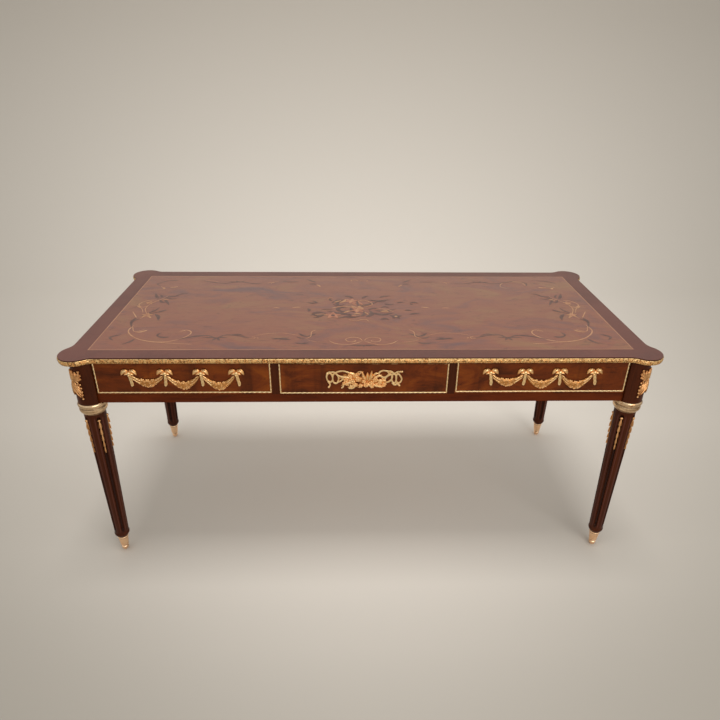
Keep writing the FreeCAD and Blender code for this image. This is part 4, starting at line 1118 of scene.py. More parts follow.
    def _side_bouquets(self) -> None:
        """A spray of flowers and leaves at each end."""
        self.lines(
            Tone.LIGHT, (3.5, 746, -104, 732, -62, 750, -10, 744, 40, 712, 92, 704, 120),
            (4, 735, 75, 768, 64, 784, 30, 764, 4, 748, 18),
        )
        self.lines(Tone.LEAF, (5, 745, -70, 700, -40, 676, -16))
        self.lines(Tone.LIGHT, (3, 784, 20, 762, -10, 748, -44))
        self.leaves(
            Tone.LEAF, (14, 700, -42, 686, -30, 670, -20), (16, 704, -56, 686, -80, 678, -112),
            (13, 712, 84, 696, 60, 676, 22), (12, 724, 76, 708, 50, 690, 56),
            (13, 706, 104, 688, 108, 664, 120), (10, 712, 100, 682, 84, 660, 92),
            (15, 730, 86, 742, 104, 756, 138), (10, 722, 96, 728, 116, 740, 128),
            (10, 742, -96, 756, -112, 762, -134), (10, 730, -50, 712, -24, 704, 4),
            (9, 676, 118, 658, 134, 636, 140),
        )
        self.flower(Tone.AMBER, (728, -66), 20, 5, True, Tone.ROSE)
        self.flower(Tone.AMBER, (750, 46), 17, 5, True, Tone.ROSE)
        self.leaves(
            Tone.AMBER, (9, 714, 70, 702, 78, 690, 82), (9, 768, -4, 778, 8, 788, 20),
            (9, 708, -92, 716, -80, 724, -74),
        )

    def _centre(self) -> None:
        """The bouquet in the middle of the field."""
        self.leaves(
            Tone.LEAF, (20, -30, -62, -76, -50, -120, -28), (15, -36, -20, -66, -34, -84, -8, -52, 12),
            (19, 14, -84, 36, -58, 28, -22), (20, 36, -48, 74, -60, 112, -46),
            (15, 48, -24, 84, -30, 122, -12), (15, -2, 20, 26, 30, 66, 62), (15, -78, 18, -84, 50, -60, 80),
            (14, 24, 78, 60, 66, 104, 76), (15, -26, 88, -40, 108, -64, 116), (12, 6, 90, 14, 104, 30, 116),
            (12, 70, 98, 88, 112, 112, 116), (15, -12, -60, -52, -78, -84, -96),
            (13, -188, -6, -180, -22, -186, -36), (13, -152, 50, -172, 44, -196, 50),
            (9, -158, 46, -164, 58, -176, 66), (16, -128, -64, -158, -56, -176, -70),
            (11, -132, -70, -150, -84, -166, -86), (11, 128, 46, 144, 52, 160, 50),
            (12, 176, 46, 192, 50, 208, 42), (9, 180, 42, 180, 34, 188, 26),
            (13, 152, -24, 164, -22, 178, -28), (14, 166, -60, 184, -52, 204, -56),
            (15, 62, -104, 78, -96, 92, -106), (9, -102, 66, -112, 76, -106, 90),
            (12, 84, 40, 100, 30, 120, 34), (13, -173, -52, -149, -40, -119, -55),
            (11, -167, -64, -144, -74, -122, -61), (11, -105, 42, -86, 69, -66, 74),
            (12, -101, 31, -78, 21, -54, 34), (11, -81, -25, -74, 0, -50, 5),
            (12, -39, 0, -31, -25, -24, -40), (12, -54, -88, -28, -84, -2, -74),
            (13, -2, -79, 10, -55, 7, -30), (11, 23, -20, 43, -5, 69, -10), (13, 24, -60, 44, -50, 66, -56),
            (9, 70, 0, 82, 11, 101, 0), (8, 54, 64, 73, 58, 94, 69), (9, -14, 63, -7, 21, 24, 11),
            (8, -140, -18, -120, -13, -100, -18), both=False,
        )
        self.lines(
            Tone.LIGHT, (4, -6, 46, -6, 63, 18, 69, 41, 37, 24, 13, 1, 21),
            (5, -104, -4, -70, 12, -36, 6, -18, -14),
            (4, -46, -104, -20, -116, -2, -106, 14, -104, 24, -122), (3, -120, 80, -112, 96, -98, 92),
            (4, 52, -8, 88, -14, 112, -36), (4, -160, -62, -132, -58, -118, -66), both=False,
        )
        self.flower(Tone.ROSE, (-98, -68), 30, 5, False, Tone.LEAF)
        self.flower(Tone.ROSE, (-34, 64), 26, 6, False, Tone.AMBER)
        self.flower(Tone.LEAF, (117, -77), 22, 5, False, Tone.LIGHT)
        self.flower(Tone.ROSE, (-12, -20), 27, 6, False, Tone.AMBER)
        self.leaves(
            Tone.AMBER, (15, -76, 48, -62, 60, -52, 84), (18, -8, 18, -2, 0, 10, -14),
            (14, -34, 18, -22, 4, -8, 0), (13, 66, -30, 78, -36, 96, -42), (11, 72, -24, 84, -24, 96, -42),
            (13, -28, -60, -15, -54, 0, -61), (13, -96, 50, -82, 61, -68, 72),
            (12, -62, -48, -47, -32, -33, -26), (10, 11, -38, 18, -50, 24, -63), both=False,
        )
        self.leaves(
            Tone.ROSE, (12, -18, 20, -26, 40, -20, 60), (12, 6, 26, -2, 44, -8, 60),
            (12, -36, -66, -24, -72, -10, -74), both=False,
        )

    def build(self, workshop: Workshop) -> None:
        """Cuts all the inlays and lets them in.

        Args:
            workshop: Builds the finishes and mounts the pieces.
        """
        for draw in (self._corners, self._waves, self._sprigs, self._volutes, self._side_bouquets,
                     self._centre):
            draw()
        for tone, sheets in self.sheets.items():
            finish, slot = tone.value
            made = sheet_object(f"marquetry_{tone.name.lower()}", sheets)
            workshop.mount(made, finish, CARCASS, slot=slot)


@dataclass
class EdgeMoulding:
    """The gilt moulding under the lip of the top, with a running leaf."""

    half: Point = (0.870, 0.383)
    inset: Point = (0.028, 0.032)
    ear: float = 0.051
    hollow: float = 0.045
    head: float = 0.766
    repeat: float = 0.0275
    steps: int = 26
    relief: float = 2.0
    arc_steps: int = 60
    section: tuple[Point, ...] = (
        (-2.0, -0.1), (1.3, -0.1), (2.0, -0.7), (2.0, -2.3), (1.0, -3.0), (1.8, -3.7), (2.3, -4.7),
        (2.4, -5.8), (2.4, -7.0), (2.3, -8.2), (2.0, -9.4), (1.6, -10.6), (1.0, -11.8), (0.2, -13.0),
        (-0.8, -14.2), (-1.1, -14.8), (-3.0, -15.0),
    )
    carved: tuple[int, int] = (5, 15)

    @property
    def straight(self) -> Point:
        """From the middle of the front, and of an end, to where the hollow starts.

        Returns:
            Both distances.
        """
        arm = self.ear + self.hollow
        reach = (math.sqrt(arm**2 - (other + self.hollow) ** 2) for other in self.inset[::-1])
        return tuple(half - inset - out for half, inset, out in zip(self.half, self.inset, reach))

    def _half_end(self) -> np.ndarray:
        """Way from the front's straight edge round the right ear to the middle of the end.

        Returns:
            Its points.
        """
        (long, deep), (straight_long, straight_deep) = self.half, self.straight
        ear = np.array((long - self.inset[0], -(deep - self.inset[1])))
        first = np.array((straight_long, -(deep + self.hollow)))
        last = np.array((long + self.hollow, -straight_deep))

        def arc(centre: np.ndarray, radius: float, start: float, stop: float) -> np.ndarray:
            """Points from one angle to another."""
            angle = np.linspace(start, stop, self.arc_steps)
            return centre + radius * np.column_stack((np.cos(angle), np.sin(angle)))

        def aim(origin: np.ndarray, target: np.ndarray) -> float:
            """Angle from one point to another."""
            return math.atan2(target[1] - origin[1], target[0] - origin[0])

        return np.vstack((
            arc(first, self.hollow, math.pi / 2, aim(first, ear)),
            arc(ear, self.ear, aim(ear, first), aim(ear, last)),
            arc(last, self.hollow, aim(last, ear) + 2 * math.pi, math.pi),
            np.array([(long, 0.0)]),
        ))

    def _leaf(self, along: np.ndarray, down: np.ndarray) -> np.ndarray:
        """Height of the running leaf, 0 to 1.

        Args:
            along: Place along the moulding in repeats.
            down: Place down the section, 0 at the top and 1 at the foot.

        Returns:
            The height.
        """
        off = np.abs(along % 1.0 - 0.5) * 2
        lean = 0.10 * np.sin(2 * np.pi * (along * 0.37 + down))
        edge = (0.97 - 0.30 * down**2) * (1.0 - 0.16 * np.abs(np.sin(np.pi * 3.0 * (down + lean))))
        rib = 0.22 * np.exp(-((off / 0.10) ** 2))
        lobes = 0.32 * np.cos(2 * np.pi * (2.6 * down + 1.9 * off + lean))
        lobes = lobes + 0.16 * np.sin(2 * np.pi * along * 2.63)
        leaf = np.where(off < edge, 0.66 - 0.30 * (off / edge) ** 4 + rib + lobes, 0.08)
        dart = 0.62 * np.exp(-(((1.0 - off) / (0.10 + 0.22 * down)) ** 2))
        return np.clip(np.maximum(leaf, dart), 0.0, 1.0)

    def _run(self, name: str, way: np.ndarray) -> bpy.types.Object:
        """Runs the section along a way.

        Args:
            name: Name of the piece.
            way: Points of the way, the outside on its right.

        Returns:
            The piece.
        """
        length = np.concatenate(([0.0], np.cumsum(np.linalg.norm(np.diff(way, axis=0), axis=1))))
        repeats = max(round(length[-1] / self.repeat), 1)
        even = np.linspace(0.0, length[-1], repeats * self.steps + 1)
        line = np.column_stack([np.interp(even, length, way[:, k]) for k in range(2)])
        right = -sideways(line)
        section = np.array(self.section)
        out = np.repeat(section[None, :, 0], len(line), axis=0)
        low, high = self.carved
        down = (np.arange(low, high) - low) / (high - 1 - low)
        along = np.linspace(0.0, repeats, len(line))
        leaf = self._leaf(along[:, None], down[None, :])
        out[:, low:high] -= self.relief * (1.0 - leaf)
        # Painted shade: the carved hollows and the groove above the running leaf take the dark end of the
        # gilding
        crest = np.full_like(out, 0.9)
        crest[:, low:high] = 0.30 + 0.70 * leaf
        crest[:, low - 1] = 0.2
        sheet = np.stack((
            line[:, None, 0] + right[:, None, 0] * out * MM,
            line[:, None, 1] + right[:, None, 1] * out * MM,
            np.repeat(self.head + section[None, :, 1] * MM, len(line), axis=0),
        ), axis=-1)
        return sheet_object(name, [(sheet[:, ::-1], crest[:, ::-1])])

    def build(self, workshop: Workshop) -> None:
        """Builds the four lengths of the moulding.

        Args:
            workshop: Builds the finishes and mounts the pieces.
        """
        half = self._half_end()
        right_end = np.vstack((half, (half * (1, -1))[-2::-1]))
        straight, deep = self.straight[0], self.half[1]
        ways = {
            "front": np.array(((-straight, -deep), (straight, -deep))),
            "right_end": right_end,
            "back": np.array(((straight, deep), (-straight, deep))),
            "left_end": -right_end,
        }
        for name, way in ways.items():
            made = self._run(f"running_leaf_{name}", way)
            workshop.mount(made, GILT_EDGE, CARCASS, f"edge_moulding_{name}")


class TableTop:
    """Board, veneers, marquetry and edge moulding."""

    def build(self, workshop: Workshop) -> None:
        """Builds and dresses the top.

        Args:
            workshop: Builds the finishes and mounts the pieces.
        """
        workshop.dress(LIP, "top_board")
        workshop.dress(BORDER, "top_crossband")
        workshop.dress(STRINGING, "top_stringing")
        workshop.dress(FIELD, "top_field_veneer")
        Marquetry().build(workshop)
        EdgeMoulding().build(workshop)


# Frieze


@dataclass
class FrameMoulding:
    """A thin gilt frame with a beaded edge."""

    width: float = 5.4
    height: float = 3.0
    pearl: float = 15.0
    waist: float = 0.09
    ribs: int = 9
    pearl_steps: int = 8
    # Way in from the side that the edge of the top keeps in shade; that side takes painted shadow
    shaded: tuple[int, int] = (0, -1)

    def sheets(self, across: Point, up: Point, panel: Panel) -> list[Sheet]:
        """The four sides of a frame, mitred at the corners.

        Args:
            across: Left and right edge on the panel, in millimetres.
            up: Foot and head on the panel, in millimetres.
            panel: The face that carries it.

        Returns:
            One sheet for each side.
        """
        share = np.linspace(-1.0, 1.0, self.ribs)
        inset = self.width * (share + 1.0) / 2
        corners = (
            (across[0] + inset, up[0] + inset), (across[1] - inset, up[0] + inset),
            (across[1] - inset, up[1] - inset), (across[0] + inset, up[1] - inset),
        )
        inward = ((0, 1), (-1, 0), self.shaded, (1, 0))
        made = []
        for k, (start, aim) in enumerate(zip(corners, inward)):
            stop = corners[(k + 1) % 4]
            pearls = round(math.hypot(stop[0][0] - start[0][0], stop[1][0] - start[1][0]) / self.pearl)
            along = np.linspace(0.0, 1.0, pearls * self.pearl_steps + 1)[:, None]
            swell = 0.5 - 0.5 * np.cos(2 * np.pi * pearls * along)
            narrowing = (1.0 - swell) * self.waist * self.width * share
            design = np.stack((
                start[0] + (stop[0] - start[0]) * along - narrowing * aim[0],
                start[1] + (stop[1] - start[1]) * along - narrowing * aim[1],
                self.height * (0.62 + 0.38 * swell) * (1.0 - np.abs(share) ** 3),
            ), axis=-1)
            # Painted shadow: the side under the edge of the top takes the shade colour
            out_of_painted_shadow = 0.0 if aim == self.shaded else 1.0
            made.append((panel.lay(design), out_of_painted_shadow * (0.80 + 0.20 * swell) * (1.0 - share**4)))
        return made


@dataclass
class SwagMount:
    """Swags of flowers hung from four ribbon bows."""

    spacing: float = 105.2
    knot: float = 21.5
    drops: tuple[float, ...] = (34.5, 42.0, 44.5)
    leans: tuple[float, ...] = (2.5, -5.0, 1.0, 5.0)
    # Right of the knot, share of the lean and height of each point of the hanging end
    end: tuple[Triple, ...] = ((1, 0, -6), (2, 0.3, -20), (3, 0.7, -34), (2.5, 0.9, -44))
    # Width, height and lift of each fold of a wing, and then its way from the knot
    wings: tuple[tuple[float, ...], ...] = (
        (16.5, 5.4, 0, 1, -1, 6, 5, 12, 7, 18, 2, 23.5, -7),
        (7.5, 5.6, 0.6, 1, -3, 8, -2, 15, -6),
        (4, 6.2, 1, 1.5, 1, 6.5, 8.5, 12.5, 12, 18.5, 7),
    )
    # Share of the half swag, height off its middle line, radius and petals of each flower
    flowers: tuple[tuple[float, float, float, int], ...] = (
        (-0.36, 6.5, 8.6, 5), (-0.02, 8, 9.2, 5), (0.31, 6, 8.2, 5), (-0.18, -4.5, 9.2, 6),
        (0.14, -6, 9.6, 5), (0.43, -3, 8, 5), (-0.48, -2.5, 8, 5), (0.15, 3, 5.6, 5), (-0.2, 4.5, 5.4, 5),
        (-0.03, -9, 6, 5), (-0.32, -7, 5.8, 5), (0.3, -7.5, 6, 5),
    )
    # Share of the half swag, width and height of each pair of leaves
    leaves: tuple[Triple, ...] = ((1.02, 8.0, 4.6), (0.86, 9.5, 5.0), (0.72, 10.0, 5.4))
    slack: float = 11.0
    ribbon: Point = (10.5, 4.2)
    # Share of the lean, height, radius and relief of each bead of a knot
    beads: tuple[tuple[float, ...], ...] = ((0, -1, 7.0, 6.8), (-0.3, -8, 4.6, 5.6))

    def _bow(self, casting: Casting, place: float, lean: float) -> None:
        """One bow with two drooping wings and its hanging end.

        Args:
            casting: The mount.
            place: Right of the middle of the mount.
            lean: How far the foot of the hanging end swings out.
        """
        level = self.knot
        end = [(place + across + lean * swing, level + up) for across, swing, up in self.end]
        casting.ribbon(end, *self.ribbon)
        for side in (-1, 1):
            for width, height, lift, *wing in self.wings:
                way = [(place + across * side, level + up) for across, up in zip(wing[::2], wing[1::2])]
                casting.leaf(way, width, height, lift=lift)
        for swing, up, radius, relief in self.beads:
            casting.bloom((place + lean * swing, level + up), radius, relief, 0)

    def _swag(self, casting: Casting, start: float, drop: float) -> None:
        """One swag from a bow to the next.

        Args:
            casting: The mount.
            start: Right of the middle of the mount, at the first bow.
            drop: Fall of its middle line below the knots.
        """
        half = self.spacing / 2 - 6
        middle = start + self.spacing / 2

        def spot(share: float, off: float = 0.0) -> Point:
            """A point at a share of the half swag, off its middle line."""
            fall = self.slack + (drop - self.slack) * (1 - abs(share) ** 1.8)
            return middle + share * half, self.knot - fall + off

        casting.strip(
            [spot(share) for share in np.linspace(-1.0, 1.0, 11)],
            lambda along: 4.2 + 8.6 * np.clip(1 - np.abs(2 * along - 1) ** 1.6, 0, 1),
            lambda along, share: (3.2 + 1.8 * np.sin(np.pi * along)) * (1 - np.abs(share) ** 6),
            35, shaded=True,
        )
        for side in (-1, 1):
            for share, width, height in self.leaves:
                for off in (-1, 1):
                    way = [spot(side * share, off * 1.6), spot(side * (share - 0.18), off * 4.2),
                           spot(side * (share - 0.34), off * 7.0)]
                    casting.leaf(way, width * 0.86, height, 2)
        for share, off, radius, petals in self.flowers:
            height = 6.8 + (share * 37) % 1.4
            casting.bloom(spot(share, off), radius, height, petals, 50 * share * petals + start)

    def casting(self) -> Casting:
        """The whole mount, about the middle of its panel.

        Returns:
            The mount.
        """
        made = Casting()
        first = -self.spacing * (len(self.leans) - 1) / 2
        for k, drop in enumerate(self.drops):
            self._swag(made, first + k * self.spacing, drop)
        for k, lean in enumerate(self.leans):
            self._bow(made, first + k * self.spacing, lean)
        return made


@dataclass
class BouquetMount:
    """A pierced mount of ribbon loops on both sides of a bouquet."""

    band: float = 5.6
    height: float = 4.0

    def _ribbons(self, casting: Casting) -> None:
        """Loops and ends of ribbon.

        Args:
            casting: The mount.
        """
        for way in (
            (-112, 6, -109, 17, -100, 19, -94, 6, -97, -8, -107, -8),
            (-94, 6, -91, 17, -84, 18, -76, 5, -81, -13, -91, -11),
            (-84, 22, -70, 27, -56, 26, -38, 16, -50, 8, -74, 10),
            (44, 20, 54, 28, 68, 27, 74, 17, 62, 6, 50, 9), (63, -5, 66, 6, 79, 15, 85, 8, 81, -3, 70, -11),
            (83, 4, 86, 15, 93, 15, 97, 2, 93, -13, 86, -11),
            (96, 4, 99, 17, 106, 14, 113, 0, 108, -12, 99, -12),
        ):
            casting.ribbon(way, self.band, self.height, True)
        for way in (
            (-108, -8, -102, -18, -106, -28), (-112, 12, -108, 22, -96, 24, -84, 22),
            (-74, 10, -62, 4, -70, -6, -82, -12), (-64, -14, -62, -24, -68, -31),
            (-42, -18, -40, -26, -46, -31), (-46, -31, -34, -31, -26, -24), (90, 18, 100, 24, 114, 25),
            (97, -12, 102, -18, 107, -23), (68, 27, 80, 26, 90, 18), (74, 17, 82, 22, 90, 18),
            (84, -12, 92, -20, 100, -16),
        ):
            casting.ribbon(way, self.band, self.height * 1.1)
        for place in ((-106, -27), (107, -22), (-110, 20), (113, 25)):
            casting.bloom(place, 4.2, 5.0, 0)

    def casting(self) -> Casting:
        """The whole mount, about the middle of its panel.

        Returns:
            The mount.
        """
        made = Casting()
        made.strip(
            (-62, 0, -42, 0, -20, -2, 0, -4, 22, -8, 46, -12, 68, -16),
            lambda along: 15.0 + 3.0 * np.sin(5 * np.pi * along) - 7.0 * along,
            lambda along, share: 2.4 * (1 - np.abs(share) ** 6),
            41, shaded=True,
        )
        self._ribbons(made)
        for width, *way in (
            (13, -30, -8, -54, -16, -70, -22), (12, -34, 4, -56, 6, -74, 2),
            (12, -20, -14, -36, -24, -50, -28), (14, 20, -16, 44, -24, 66, -25), (13, 26, 0, 42, 10, 54, 14),
            (12, 36, -6, 54, -4, 70, -8), (12, -24, 12, -38, 20, -52, 22), (11, 24, 6, 34, 18, 46, 20),
            (12, 10, -12, 20, -24, 30, -28), (11, -6, -16, -12, -26, -20, -28), (8, -16, 10, -12, 20, -2, 25),
            (6, -24, 18, -16, 25, -6, 27),
        ):
            made.leaf(way, width, 4.8, 3)
        for width, across, up in ((12, -6, 28), (13, 10, 24), (12, 23, 30), (9, 30, 20)):
            bend = ((10 + across) / 2 + (across - 10) * 0.25, 10)
            made.leaf([(10, -6), bend, (across, up)], width, 7.0)
        for across, up, radius, petals in (
            (-44, 8, 11.5, 7), (-27, 12, 10, 6), (-54, -4, 9.5, 6), (-36, -8, 12, 6), (-18, 0, 11.5, 7),
            (-50, -16, 8.5, 5), (-26, -20, 9.5, 5), (-10, -22, 9, 6), (6, -20, 10.5, 8), (0, -8, 8.5, 5),
            (33, -2, 11, 6), (22, -14, 10, 6), (48, -12, 9.5, 5), (61, -17, 8.5, 5), (38, -20, 8.5, 5),
            (24, -25, 7.5, 5), (56, -2, 7.5, 5), (-60, -14, 7, 5), (-20, 18, 7, 5), (52, -24, 6.5, 5),
        ):
            made.bloom((across, up), radius, 8.2, petals, across * 7)
        for place in (
            (-50, 12), (-32, 0), (10, -8), (14, -2), (42, -4), (66, -8), (-8, 4), (-44, -4), (32, 10),
        ):
            made.bloom(place, 2.8, 7.4, 0)
        return made


@dataclass
class Frieze:
    """Drawer fronts, rails, aprons, and their frames and mounts."""

    frames: FrameMoulding = field(default_factory=FrameMoulding)
    middle: float = 0.690
    end_margin: float = 2.0

    def _frame(self, workshop: Workshop, name: str, body: str, panels: Sequence[tuple[Point, Point, Panel]],
               replaced: str) -> None:
        """Sets one piece with frames on its panels."""
        sheets = [sheet for across, up, panel in panels for sheet in self.frames.sheets(across, up, panel)]
        workshop.mount(sheet_object(name, sheets), GILT_LINE, body, replaced)

    def build(self, workshop: Workshop) -> None:
        """Builds and dresses the frieze.

        Args:
            workshop: Builds the finishes and mounts the pieces.
        """
        workshop.dress(RAIL, "front_lower_rail")
        workshop.dress(DARK, "drawer_stile_left", "drawer_stile_right")
        workshop.dress(FRIEZE, "side_apron_left", "side_apron_right", "back_apron")
        swag, bouquet = SwagMount().casting(), BouquetMount().casting()
        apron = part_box("side_apron_right")[1]
        deep = apron[1] / MM - self.end_margin
        hidden = []
        for name in DRAWERS:
            body = f"drawer_{name}"
            workshop.dress(FRIEZE, f"{body}_front")
            low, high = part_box(f"{body}_frame")
            centre = (low[0] + high[0]) / 2
            across = ((low[0] - centre) / MM, (high[0] - centre) / MM)
            up = ((low[2] - self.middle) / MM, (high[2] - self.middle) / MM)
            panel = Panel((centre, high[1], self.middle))
            self._frame(workshop, f"gilt_frame_{name}", body, [(across, up, panel)], f"{body}_frame")
            ornament = bouquet if name == "centre" else swag
            workshop.mount(ornament.object(f"gilt_mount_{name}", [panel]), GILT, body, f"{body}_mount")
            hidden.append((across, up, Panel((centre, -high[1], self.middle), 180.0), ornament))
            if name == "left":
                # The ends carry the panel of the left drawer too
                for side in (-1, 1):
                    end = Panel((side * apron[0], 0.0, self.middle), 180.0 - 90.0 * side)
                    hidden.append(((-deep, deep), up, end, swag))
        panels = [row[:3] for row in hidden]
        self._frame(workshop, "gilt_frames_back_and_ends", CARCASS, panels, "apron_frames")
        sheets = [sheet for cast in (swag, bouquet)
                  for sheet in cast.sheets([panel for _, _, panel, ornament in hidden if ornament is cast])]
        workshop.mount(sheet_object("gilt_mounts_back_and_ends", sheets), GILT, CARCASS, "apron_mounts")


# Legs


@dataclass
class HuskDrops:
    """A bead and a chain of husks in each flute."""

    axis: Point
    turn: float
    foot: float
    head: float
    flutes: int = 5
    rim: float = 0.022
    gap: float = 0.020
    foot_radius: float = 0.023
    head_radius: float = 0.0325
    bead: float = 0.0046
    husks: int = 5
    length: float = 0.0255
    shortening: float = 0.001
    widest: float = 0.0051
    overlap: float = 0.0006
    pitch: float = 0.97
    rings: int = 11
    ring_steps: int = 25

    def _reach(self, height: float | np.ndarray) -> float | np.ndarray:
        """Radius of the shaft at a height."""
        rise = (height - self.foot - self.rim) / (self.head - self.foot - self.rim)
        return self.foot_radius + (self.head_radius - self.foot_radius) * rise

    def _turned(self, angle: float, heights: np.ndarray, radii: np.ndarray) -> np.ndarray:
        """Rings of points about the middle line of a flute.

        Args:
            angle: Direction of the flute.
            heights: Height of each point, rings in rows.
            radii: Distance of each point from the middle line.

        Returns:
            The points.
        """
        round_about = np.linspace(0.0, 2 * np.pi, heights.shape[1])[None, :]
        reach = self._reach(heights) + radii * np.cos(round_about)
        side = radii * np.sin(round_about)
        return np.stack((
            self.axis[0] + reach * math.cos(angle) - side * math.sin(angle),
            self.axis[1] + reach * math.sin(angle) + side * math.cos(angle),
            heights,
        ), axis=-1)

    def build(self, workshop: Workshop, corner: str) -> None:
        """Builds the drops of one leg.

        Args:
            workshop: Builds the finishes and mounts the pieces.
            corner: Name of its corner.
        """
        sheets = []
        around = np.linspace(0.0, 2 * np.pi, self.ring_steps)[None, :]
        lobe = np.cos(3 * around)
        lie = np.linspace(0.0, math.pi, self.rings)[:, None]
        share = np.linspace(0.0, 1.0, self.rings)[:, None]
        swell = 0.25 + 0.75 * np.sin(np.pi * share**0.9 * 0.66)
        # Painted shade between the lobes of each husk
        crest = 0.35 + 0.65 * (0.5 + 0.5 * lobe) * np.ones_like(share)
        start = self.head - self.gap
        for k in range(self.flutes):
            angle = math.radians(self.turn + 360.0 * k / self.flutes)
            heights = start - self.bead + self.bead * np.cos(lie) * np.ones_like(around)
            radii = self.bead * np.sin(lie) * np.ones_like(around)
            sheets.append((self._turned(angle, heights, radii), np.ones_like(radii)))
            top = start - 2 * self.bead + self.overlap
            for husk in range(self.husks):
                length = self.length - husk * self.shortening
                width = self.widest * (1 - husk / (2 * self.husks))
                radii = width * swell * (1.0 + 0.16 * lobe * share**2)
                heights = top - length * share * (0.92 + 0.08 * lobe * share)
                sheets.append((self._turned(angle, heights, radii), crest))
                # Painted shade: a dark cone closes the mouth of each husk
                inner = np.stack((heights[-1], heights[-1] + length * 0.3))
                mouth = np.stack((radii[-1], radii[-1] * 0.05))
                sheets.append((self._turned(angle, inner, mouth), np.zeros_like(inner)))
                top -= length * self.pitch
        made = sheet_object(f"husk_drops_{corner}", sheets)
        workshop.mount(made, GILT_RED, CARCASS, f"leg_husks_{corner}")


@dataclass
class CornerMount:
    """A horned leaf head over a spray that sweeps down to the front, on the outer face of a post."""

    axis: Point
    turn: float
    mirrored: bool
    radius: float = 0.0403
    head: float = 0.730

    def casting(self) -> Casting:
        """The ornament, hung from its top, its right side to the end of the table.

        Returns:
            The ornament.
        """
        made = Casting()
        for tip, bend, width in (
            ((-16, -1), (-12, -16), 16), ((-4, -5), (-5, -20), 15), ((9, -4), (5, -18), 15),
            ((21, -3), (14, -16), 16), ((-19, -15), (-12, -23), 15), ((24, -17), (14, -24), 15),
            ((-18, -27), (-10, -31), 13), ((23, -30), (12, -33), 13),
        ):
            made.leaf([(0, -38), bend, tip], width, 5.0, 3)
            place = tuple(end * 0.82 + middle * 0.18 for end, middle in zip(tip, bend))
            made.bloom(place, 4.6, 5.4, 5, tip[0] * 9)
        made.ribbon((-5, -36, 1, -37, 3, -43, -1, -48, -7, -46, -8, -40), 4.4, 5.4, True)
        made.bloom((-11, -26), 6.5, 6.0, 5)
        made.bloom((6, -27), 5.5, 6.0, 5)
        for width, *way in (
            (9, 20, -34, 6, -54, -6, -72, -15, -93), (8, 8, -44, -4, -58, -12, -70, -17, -82),
            (8, 23, -42, 14, -60, 4, -74, -9, -90), (8, 24, -52, 20, -66, 12, -78),
            (9, 25, -60, 25, -74, 21, -90), (7.5, -2, -48, -8, -54, -13, -60), (8, 22, -46, 23, -62, 18, -78),
        ):
            made.leaf(way, width, 5.0)
        for across, up, radius in (
            (-13.5, -46, 3.6), (-14.5, -58, 3.8), (-15.5, -70, 3.2), (-14.5, -81, 3.2), (-14, -94, 3.4),
            (20, -46, 3.2),
        ):
            made.bloom((across, up), radius, 5.2, 0)
        return made

    def build(self, workshop: Workshop, corner: str) -> None:
        """Builds the mount of one post.

        Args:
            workshop: Builds the finishes and mounts the pieces.
            corner: Name of its corner.
        """
        post = Post(self.axis, self.radius, self.head, self.turn, self.mirrored)
        made = self.casting().object(f"leaf_mount_{corner}", [post])
        workshop.mount(made, GILT_RED, CARCASS, f"corner_mount_{corner}")


@dataclass
class Legs:
    """Four turned legs with collars, husks, sabots and corner mounts."""

    # Heights of the painted shade lines in the grooves of the collar and of the sabot
    collar_shaded_grooves: tuple[float, ...] = (0.0015, 0.0200, 0.0232)
    sabot_shaded_grooves: tuple[float, ...] = (-0.0437, -0.0062)

    def build(self, workshop: Workshop) -> None:
        """Builds and dresses the legs.

        Args:
            workshop: Builds the finishes and mounts the pieces.
        """
        for corner, side, end, turn in CORNERS:
            low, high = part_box(f"sabot_{corner}")
            foot, head = high[2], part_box(f"leg_collar_{corner}")[0][2]
            axis = ((low[0] + high[0]) / 2, (low[1] + high[1]) / 2)
            wood = replace(LEG, axis=tuple(map(abs, axis)), foot=foot + HuskDrops.rim, head=head)
            workshop.dress(wood, f"leg_{corner}")
            brass = replace(COLLAR, shaded_grooves=tuple(head + rise for rise in self.collar_shaded_grooves))
            workshop.dress(brass, f"leg_collar_{corner}")
            matt = replace(GILT_FOOT, shaded_grooves=tuple(foot + rise for rise in self.sabot_shaded_grooves))
            workshop.dress(matt, f"sabot_{corner}")
            HuskDrops(axis, -90.0 * end, foot, head).build(workshop, corner)
            CornerMount(axis, turn, side * end > 0).build(workshop, corner)


class Insides:
    """Drawer boxes and the strips that carry them."""

    def build(self, workshop: Workshop) -> None:
        """Dresses the inner woods and the screws.

        Args:
            workshop: Builds the finishes and mounts the pieces.
        """
        workshop.dress(OAK, "front_upper_rail", "partition_left", "partition_right", "drawer_runners",
                       "drawer_kickers")
        for name in DRAWERS:
            workshop.dress(OAK, *(f"drawer_{name}_{part}" for part in ("sides", "back", "bottom")))
        workshop.dress(SCREW, "top_screws")


# Studio


